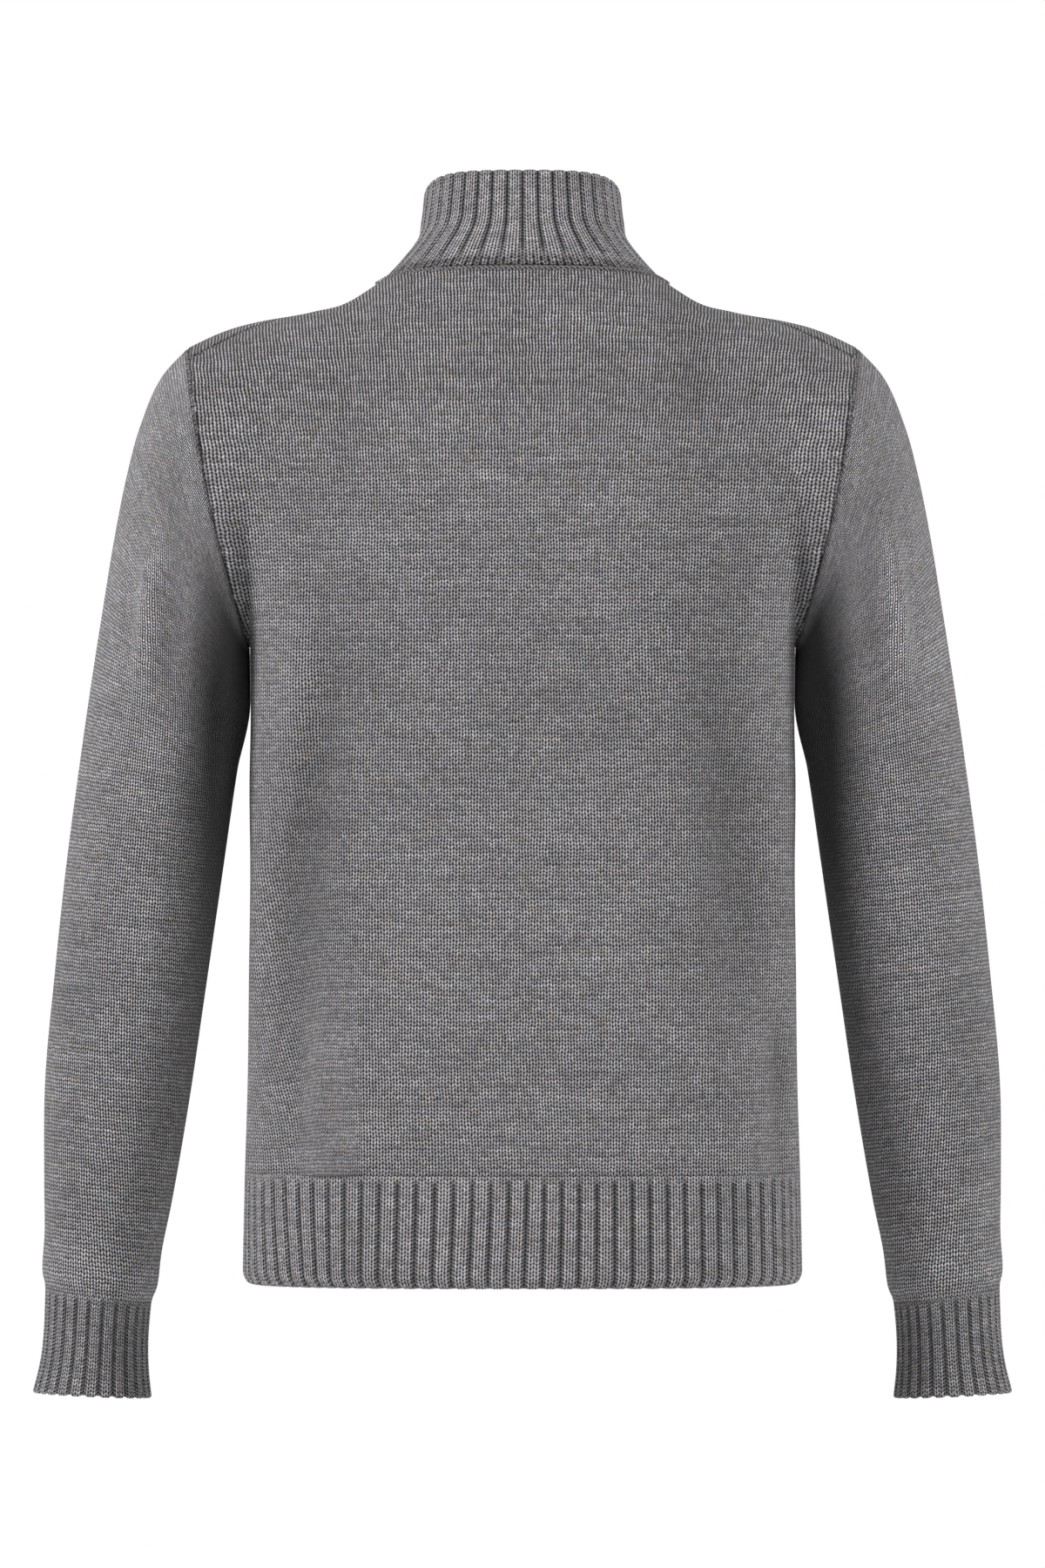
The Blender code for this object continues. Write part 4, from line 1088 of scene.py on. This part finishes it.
# %% A finish and its nodes
class Finish:
    """A material, or a world, whose nodes are added in the order they are needed."""

    def __init__(self, name, block=None):
        self.block = block or bpy.data.materials.new(name)
        self.block.use_nodes = True
        self.block.node_tree.nodes.clear()

    def node(self, kind, settings=None, sockets=None, output=0):
        """Add a node: its settings, then the values or links of its sockets. Gives one of its outputs."""
        made = self.block.node_tree.nodes.new("ShaderNode" + kind)
        for name, value in (settings or {}).items():
            setattr(made, name, value)
        for name, value in (sockets or {}).items():
            if isinstance(value, Value):
                self.block.node_tree.links.new(value.socket, made.inputs[name])
            else:
                made.inputs[name].default_value = value
        return Value(self, made.outputs[output]) if len(made.outputs) else made

    def maths(self, operation, *values):
        """One Math node."""
        return self.node("Math", {"operation": operation}, dict(enumerate(values)))

    def step(self, value, low, high):
        """0 below low, 1 above high and smooth between; the other way round if low is above high."""
        return self.node("MapRange", {"interpolation_type": "SMOOTHSTEP"}, {0: value, 1: low, 2: high})

    def join(self, *parts):
        """A vector from numbers."""
        return self.node("CombineXYZ", None, dict(enumerate(parts)))

    def split(self, vector):
        """The first two numbers of a vector."""
        first = self.node("SeparateXYZ", None, {0: vector})
        return first, Value(self, first.socket.node.outputs[1])

    def noise(self, vector, scale, detail=2.0, roughness=0.5):
        """Smooth noise from 0 to 1."""
        return self.node("TexNoise", None, {"Vector": vector, "Scale": scale, "Detail": detail,
                                            "Roughness": roughness})

    def attribute(self, name):
        """A value stored in the mesh."""
        return self.node("Attribute", {"attribute_name": name}, output=2)

    def mix(self, first, second, factor):
        """A colour between two colours."""
        return self.node("Mix", {"data_type": "RGBA"}, {0: factor, 6: first, 7: second}, output=2)

    def scale(self, colour, factor):
        """A colour made lighter or darker."""
        return self.node("VectorMath", {"operation": "SCALE"}, {0: colour, "Scale": factor})

    def surface(self, colour, constants, height=None, distance=0.001, strength=1.0):
        """Finish with a shader: constants stay on its sockets, a height goes through a Bump node."""
        sockets = dict(constants)
        sockets["Base Color"] = colour
        if height is not None:
            sockets["Normal"] = self.node("Bump", None, {"Height": height, "Distance": distance,
                                                         "Strength": strength})
        shader = self.node("BsdfPrincipled", None, sockets)
        self.node("OutputMaterial", None, {"Surface": shader})
        print(self.block.name, "has", len(self.block.node_tree.nodes), "nodes")
        return self.block


# %% [markdown]
# ## Wool
# Plain knitting shows one V for each stitch; from behind, and in the grooves of a rib, it shows a low zigzag.
# Both are stripes that lean one way on one half of a wale and the other way on the other half, so one stripe
# pattern with two slopes draws either. The "Stitch" map counts the stitches, so nothing has to be placed.
#
# The yarn is melange: pale and dark fibres spun together. That takes variation at several scales: clouds of
# many stitches; long streaks along a course, where one length of yarn runs lighter; single stitches and
# their legs; and flecks of fibre. The gaps between rows and wales are what makes each stitch stand out; their
# colour is darkened too, a painted shade where the loops shade each other.

# %% Rows of loops
PALE_YARN = (0.560, 0.533, 0.560, 1.0)
WARM_YARN = (0.560, 0.515, 0.508, 1.0)
COOL_YARN = (0.530, 0.528, 0.575, 1.0)
WOOL_RELIEF = 0.0010
PLAIN_SLOPE, PURL_SLOPE = 0.56, -0.60       # rows by which a leg of yarn climbs over half a wale
PURL_GAPS = (0.80, 0.10)
STRETCH_START, STRETCH_END = 165.0, 215.0   # rows over the hem seam between which the wales spread apart
WOOL = {"Roughness": 0.95, "Specular IOR Level": 0.15, "Sheen Weight": 0.3, "Sheen Roughness": 0.5}


def loops(finish, u, v, slope, between_rows, between_wales):
    """Height of yarn, 1 on it and less between: stripes at v - slope a, a = 0 mid wale and 1 at its borders.

    Rows of yarn part in a shallow gap. At a = 0 and a = 1, where the legs of a stitch part, the gap is
    deeper and a line runs on from row to row.
    """
    a = abs(2 * finish.maths("FRACT", u + 0.5) - 1)
    stripe = abs(2 * finish.maths("FRACT", v - slope * a) - 1)
    parting = finish.step(abs(2 * a - 1), 0.20, 0.90)
    gap = finish.step(stripe + 0.30 * parting, 0.35, 0.90)
    depth = between_rows + (1 - between_rows) * parting
    return (1 - depth * gap) * (1 - between_wales * parting)


# %% From loops to wool
def wool(name, groove=0.0, shade=1.0, groove_shade=0.45, gaps=(0.60, 0.50), streaks=0.64):
    """Melange wool knitted plain, or two by one where a groove is wider than 0 wales.

    The purl side of the knitting shows where "inside" is 1 and in the grooves, as far as "ribs" is 1. `gaps`
    are the depths between rows and between wales, in the bump and in the shade painted there. Shade is also
    painted along seams, in the grooves, in the troughs of the cloth and over the upper back where the wales
    spread apart, and light on ridges and the outer arm; the wrong side is drawn darker. `shade` paints how
    brightly the whole part is lit. Along a seam the gaps between stitches show as slits, painted dark as the
    shade inside them.
    """
    finish = Finish(name)
    stitch = finish.node("UVMap", {"uv_map": "Stitch"})
    u, v = finish.split(stitch)
    inside, seam = finish.attribute("inside"), finish.attribute("seam")
    sway = finish.noise(stitch, 0.23, 2.0)
    lift = finish.noise(finish.join(v, u, 4.0), 0.41, 1.0)
    across, up = u + 0.5 * (sway - 0.5), v + 0.9 * (lift - 0.5)

    purl, grooves = inside, 0.0
    if groove:
        across = u
        from_groove = abs(3 * finish.maths("FRACT", (u + 1.5) * (1 / 3)) - 1.5)
        grooves = finish.step(from_groove, 0.75 * groove, 0.35 * groove) * finish.attribute("ribs")
        purl = finish.maths("MAXIMUM", inside, grooves)
    # the wales spread apart over the upper back, and the same rows ramp in a painted shade there
    stretched_and_shaded = 0.0 if groove else finish.step(v, STRETCH_START, STRETCH_END)
    plain_height = loops(finish, across, up, PLAIN_SLOPE, gaps[0] - 0.25 * stretched_and_shaded,
                         gaps[1] + 0.28 * stretched_and_shaded)
    purl_height = loops(finish, across, up, PURL_SLOPE, *PURL_GAPS)
    height = plain_height + purl * (purl_height - plain_height)

    stitch_of = finish.join(finish.maths("FLOOR", across + 0.5), finish.maths("FLOOR", up), 0.0)
    leg_of = finish.join(finish.maths("FLOOR", 2 * across), finish.maths("FLOOR", up), 5.0)
    each_stitch = finish.node("TexWhiteNoise", {"noise_dimensions": "3D"}, {"Vector": stitch_of})
    each_leg = finish.node("TexWhiteNoise", {"noise_dimensions": "3D"}, {"Vector": leg_of})
    streak = finish.noise(finish.join(u * 0.05, v * 0.95, 1.0), 1.0, 3.0, 0.6)
    cloud = finish.noise(finish.join(u * 0.5, v, 2.0), 0.07, 3.0)
    where = finish.node("TexCoord", output=3)
    fibre = finish.noise(where, 1400.0, 2.0, 0.7)
    tint = finish.noise(where, 170.0, 3.0, 0.6)

    # painted shade: along a seam the gaps between stitches are drawn as dark slits
    from_wale = abs(2 * finish.maths("FRACT", u + 0.5) - 1)
    slits = finish.step(seam, 0.12, 0.55) * finish.step(from_wale, 0.25, 0.65)
    slits = slits * finish.step(finish.noise(stitch, 0.9, 1.0), 0.32, 0.55)
    # painted shade: the colour darkens with the yarn's height, in the gaps between loops
    light = (0.03 + 0.97 * height) * shade
    for value, spread in ((streak, streaks), (each_stitch, 0.40), (each_leg, 0.32), (cloud, 0.36),
                          (fibre, 1.7)):
        light = light * (1 - spread / 2 + spread * value)
    # painted shade: seams, slits, grooves, troughs, upper back; below 0, painted light; wrong side darker
    hollow = finish.attribute("hollow")
    for place, loss in ((inside, 0.30), (seam, 0.20), (slits, 0.85), (grooves, 1 - groove_shade),
                        (hollow, 0.32), (stretched_and_shaded, 0.11)):
        light = light * (1 - loss * place)
    yarn = finish.mix(PALE_YARN, WARM_YARN, finish.step(tint, 0.52, 0.66))
    yarn = finish.mix(yarn, COOL_YARN, finish.step(tint, 0.46, 0.34))
    return finish.surface(finish.scale(yarn, light), WOOL, height + 0.25 * fibre, WOOL_RELIEF)


# %% Five wools
# painted light: the sleeves take a higher shade than the body, as the light on the arms
plain_wool = wool("plain_wool", shade=1.17, gaps=(0.56, 0.65), streaks=0.95)
hem_wool = wool("hem_wool", groove=0.62, shade=1.17, groove_shade=0.30, gaps=(0.40, 0.48))
collar_wool = wool("collar_wool", groove=0.55, shade=1.18, groove_shade=0.26, gaps=(0.25, 0.48))
sleeve_wool = wool("sleeve_wool", shade=1.50, gaps=(0.74, 0.84), streaks=1.15)
cuff_wool = wool("cuff_wool", groove=0.70, shade=1.18, groove_shade=0.35)

# %% [markdown]
# ## Chain, thread and buttons
# The chain is the same yarn seen as bare cord, so it needs only fibres that run along it. The buttons are a
# polished dark resin: nearly black with soft brown clouds, and a gloss that dulls a little where it is worn.


# %% Small finishes
def bare_yarn(name, colour, fleck):
    """Yarn or thread seen as a cord: fine fibres and a soft sheen."""
    finish = Finish(name)
    where = finish.node("TexCoord", output=3)
    fibre = finish.noise(where, fleck, 3.0, 0.7)
    return finish.surface(finish.scale(colour, 0.5 + fibre), WOOL, fibre, 0.0003)


def dark_resin(name):
    """Polished resin: soft clouds in its colour, fine wear in its gloss."""
    finish = Finish(name)
    where = finish.node("TexCoord", output=3)
    cloud = finish.noise(where, 130.0, 4.0, 0.55)
    wear = finish.noise(where, 900.0, 3.0, 0.7)
    colour = finish.mix((0.016, 0.014, 0.014, 1.0), (0.075, 0.066, 0.062, 1.0), finish.step(cloud, 0.4, 0.75))
    gloss = {"Roughness": 0.20 + 0.22 * wear, "Specular IOR Level": 0.5}
    return finish.surface(colour, gloss, wear, 0.00003)


chain_yarn = bare_yarn("chain_yarn", (0.30, 0.285, 0.29), 1100.0)
sewing_thread = bare_yarn("sewing_thread", (0.060, 0.056, 0.056), 2600.0)
button_resin = dark_resin("button_resin")

# %% [markdown]
# ## Dress the frame
# Each new piece stands for its solid in the imported model, which is hidden, and takes its finish. A
# panel's cut, the size it was knitted to, is measured on its own grid and rounded: the longest row and
# column, and the share of that rectangle which the shaped panel fills.

# %% Pieces and their solids
pieces = [
    (back, "back", plain_wool),
    (fronts["left"], "front_left", plain_wool),
    (fronts["right"], "front_right", plain_wool),
    (hem_back, "hem_rib_back", hem_wool),
    (hem_fronts["left"], "hem_rib_front_left", hem_wool),
    (hem_fronts["right"], "hem_rib_front_right", hem_wool),
    (collar, "collar", collar_wool),
    (sleeves["left"], "sleeve_left", sleeve_wool),
    (sleeves["right"], "sleeve_right", sleeve_wool),
    (cuffs["left"], "cuff_left", cuff_wool),
    (cuffs["right"], "cuff_right", cuff_wool),
    (band_left, "buttonhole_band_left", hem_wool),
    (band_right, "button_band_right", hem_wool),
]
pieces += [(button, "button_%d" % (i + 1), button_resin) for i, button in enumerate(buttons)]
pieces += [(threads, None, sewing_thread), (neck_chain, None, chain_yarn)]
for piece, node, material in pieces:
    piece.data.materials.append(material)
    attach(piece, "root")
    "button" if piece in buttons else "knit"
    if node:
        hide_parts(node)
print(len(pieces), "pieces stand for", sum(node is not None for _, node, _ in pieces), "solids")

# %% The cut
CUT = table("width length share", [
    (0.49, 0.60, 0.89),     # back
    (0.29, 0.615, 0.69),    # a front
    (0.48, 0.070, 1.00),    # hem rib of the back
    (0.22, 0.070, 1.00),    # hem rib of a front
    (0.51, 0.071, 0.75),    # collar
    (0.52, 0.61, 0.52),     # sleeve
    (0.24, 0.067, 0.90),    # cuff
    (0.038, 0.66, 1.00),    # buttonhole band
    (0.034, 0.66, 1.00),    # button band
])
sheets = [(back,), fronts.values(), (hem_back,), hem_fronts.values(), (collar,), sleeves.values(),
          cuffs.values(), (band_left,), (band_right,)]
for cut, members in zip(CUT, sheets):
    for piece in members:
        float(cut["width"] * cut["length"] * cut["share"])
print("the cut is", round(float(sum(cut["width"] * cut["length"] * cut["share"] * len(members)
                                    for cut, members in zip(CUT, sheets))), 3), "square metres")

# %% [markdown]
# ## Floor, light and camera
# A pale floor and soft lamps, as in a plain studio. The camera looks at the back. Two lamps on either side of
# it, low and high, rake across the back so that its folds and stitches show, a weak one by the camera and one
# overhead fill the shadows, and one in front lights the views from there. The world is white where it is
# seen, and adds only a little light to the wool.

# %% Floor
FLOOR_HEIGHT, FLOOR_RADIUS = -1.25, 1.9


def floor_disc():
    """A round floor: rings of radius r and height 0."""
    radius = np.linspace(0.0, FLOOR_RADIUS, 12)[:, None]
    turn = np.linspace(0.0, 2 * math.pi, 65)[None, :]
    return np.stack(np.broadcast_arrays(radius * np.cos(turn), radius * np.sin(turn), FLOOR_HEIGHT), axis=-1)


floor = smooth_grid("floor", [floor_disc()])
floor_finish = Finish("pale_floor")
speckle = floor_finish.noise(floor_finish.node("TexCoord", output=3), 60.0, 4.0)
floor.data.materials.append(floor_finish.surface(
    floor_finish.scale((0.86, 0.86, 0.86), 0.97 + 0.06 * speckle), {"Roughness": 0.8}))

# %% Lamps
SUBJECT = Vector((0.0, 0.0, -0.311))
LAMPS = {
    "lamp_left": ((2.7, 1.5, 0.6), 40.0),
    "lamp_right": ((-2.7, 1.5, 0.6), 25.0),
    "lamp_left_high": ((2.2, 1.2, 1.6), 29.0),
    "lamp_right_high": ((-2.2, 1.2, 1.6), 18.0),
    "lamp_camera": ((-1.9, 2.7, 0.2), 14.0),
    "lamp_over": ((0.0, 1.6, 2.2), 8.0),
    "lamp_front": ((0.4, -3.4, 0.3), 44.0),
}

for name, (place, power) in LAMPS.items():
    lamp = bpy.data.lights.new(name, "AREA")
    lamp.size = 1.0
    lamp.energy = power
    stand = bpy.data.objects.new(name, lamp)
    stand.location = place
    stand.rotation_euler = (SUBJECT - Vector(place)).to_track_quat("-Z", "Y").to_euler()
    bpy.context.scene.collection.objects.link(stand)
print(len(LAMPS), "lamps give", sum(power for _, power in LAMPS.values()), "W")

# %% World and camera
AMBIENT = 0.06
CAMERA_DISTANCE = 9.0

bpy.context.scene.world = bpy.data.worlds.new("studio")
studio = Finish("studio", bpy.context.scene.world)
seen = [Value(studio, studio.node("LightPath").socket.node.outputs[name])
        for name in ("Is Camera Ray", "Is Glossy Ray", "Is Transmission Ray")]
white = studio.maths("MAXIMUM", studio.maths("MAXIMUM", seen[0], seen[1]), seen[2])
shown = studio.node("Background", None, {0: (1.0, 1.0, 1.0, 1.0), 1: white * (1 - AMBIENT) + AMBIENT})
studio.node("OutputWorld", None, {"Surface": shown})

camera_data = bpy.data.cameras.new("camera")
camera_data.lens = 327.3
camera_data.sensor_width = 36.0
camera = bpy.data.objects.new("camera", camera_data)
camera.location = (0.0, CAMERA_DISTANCE, SUBJECT.z)
camera.rotation_euler = (math.radians(90.0), 0.0, math.radians(180.0))
bpy.context.scene.collection.objects.link(camera)
bpy.context.scene.camera = camera
bpy.context.scene.view_settings.view_transform = "Standard"
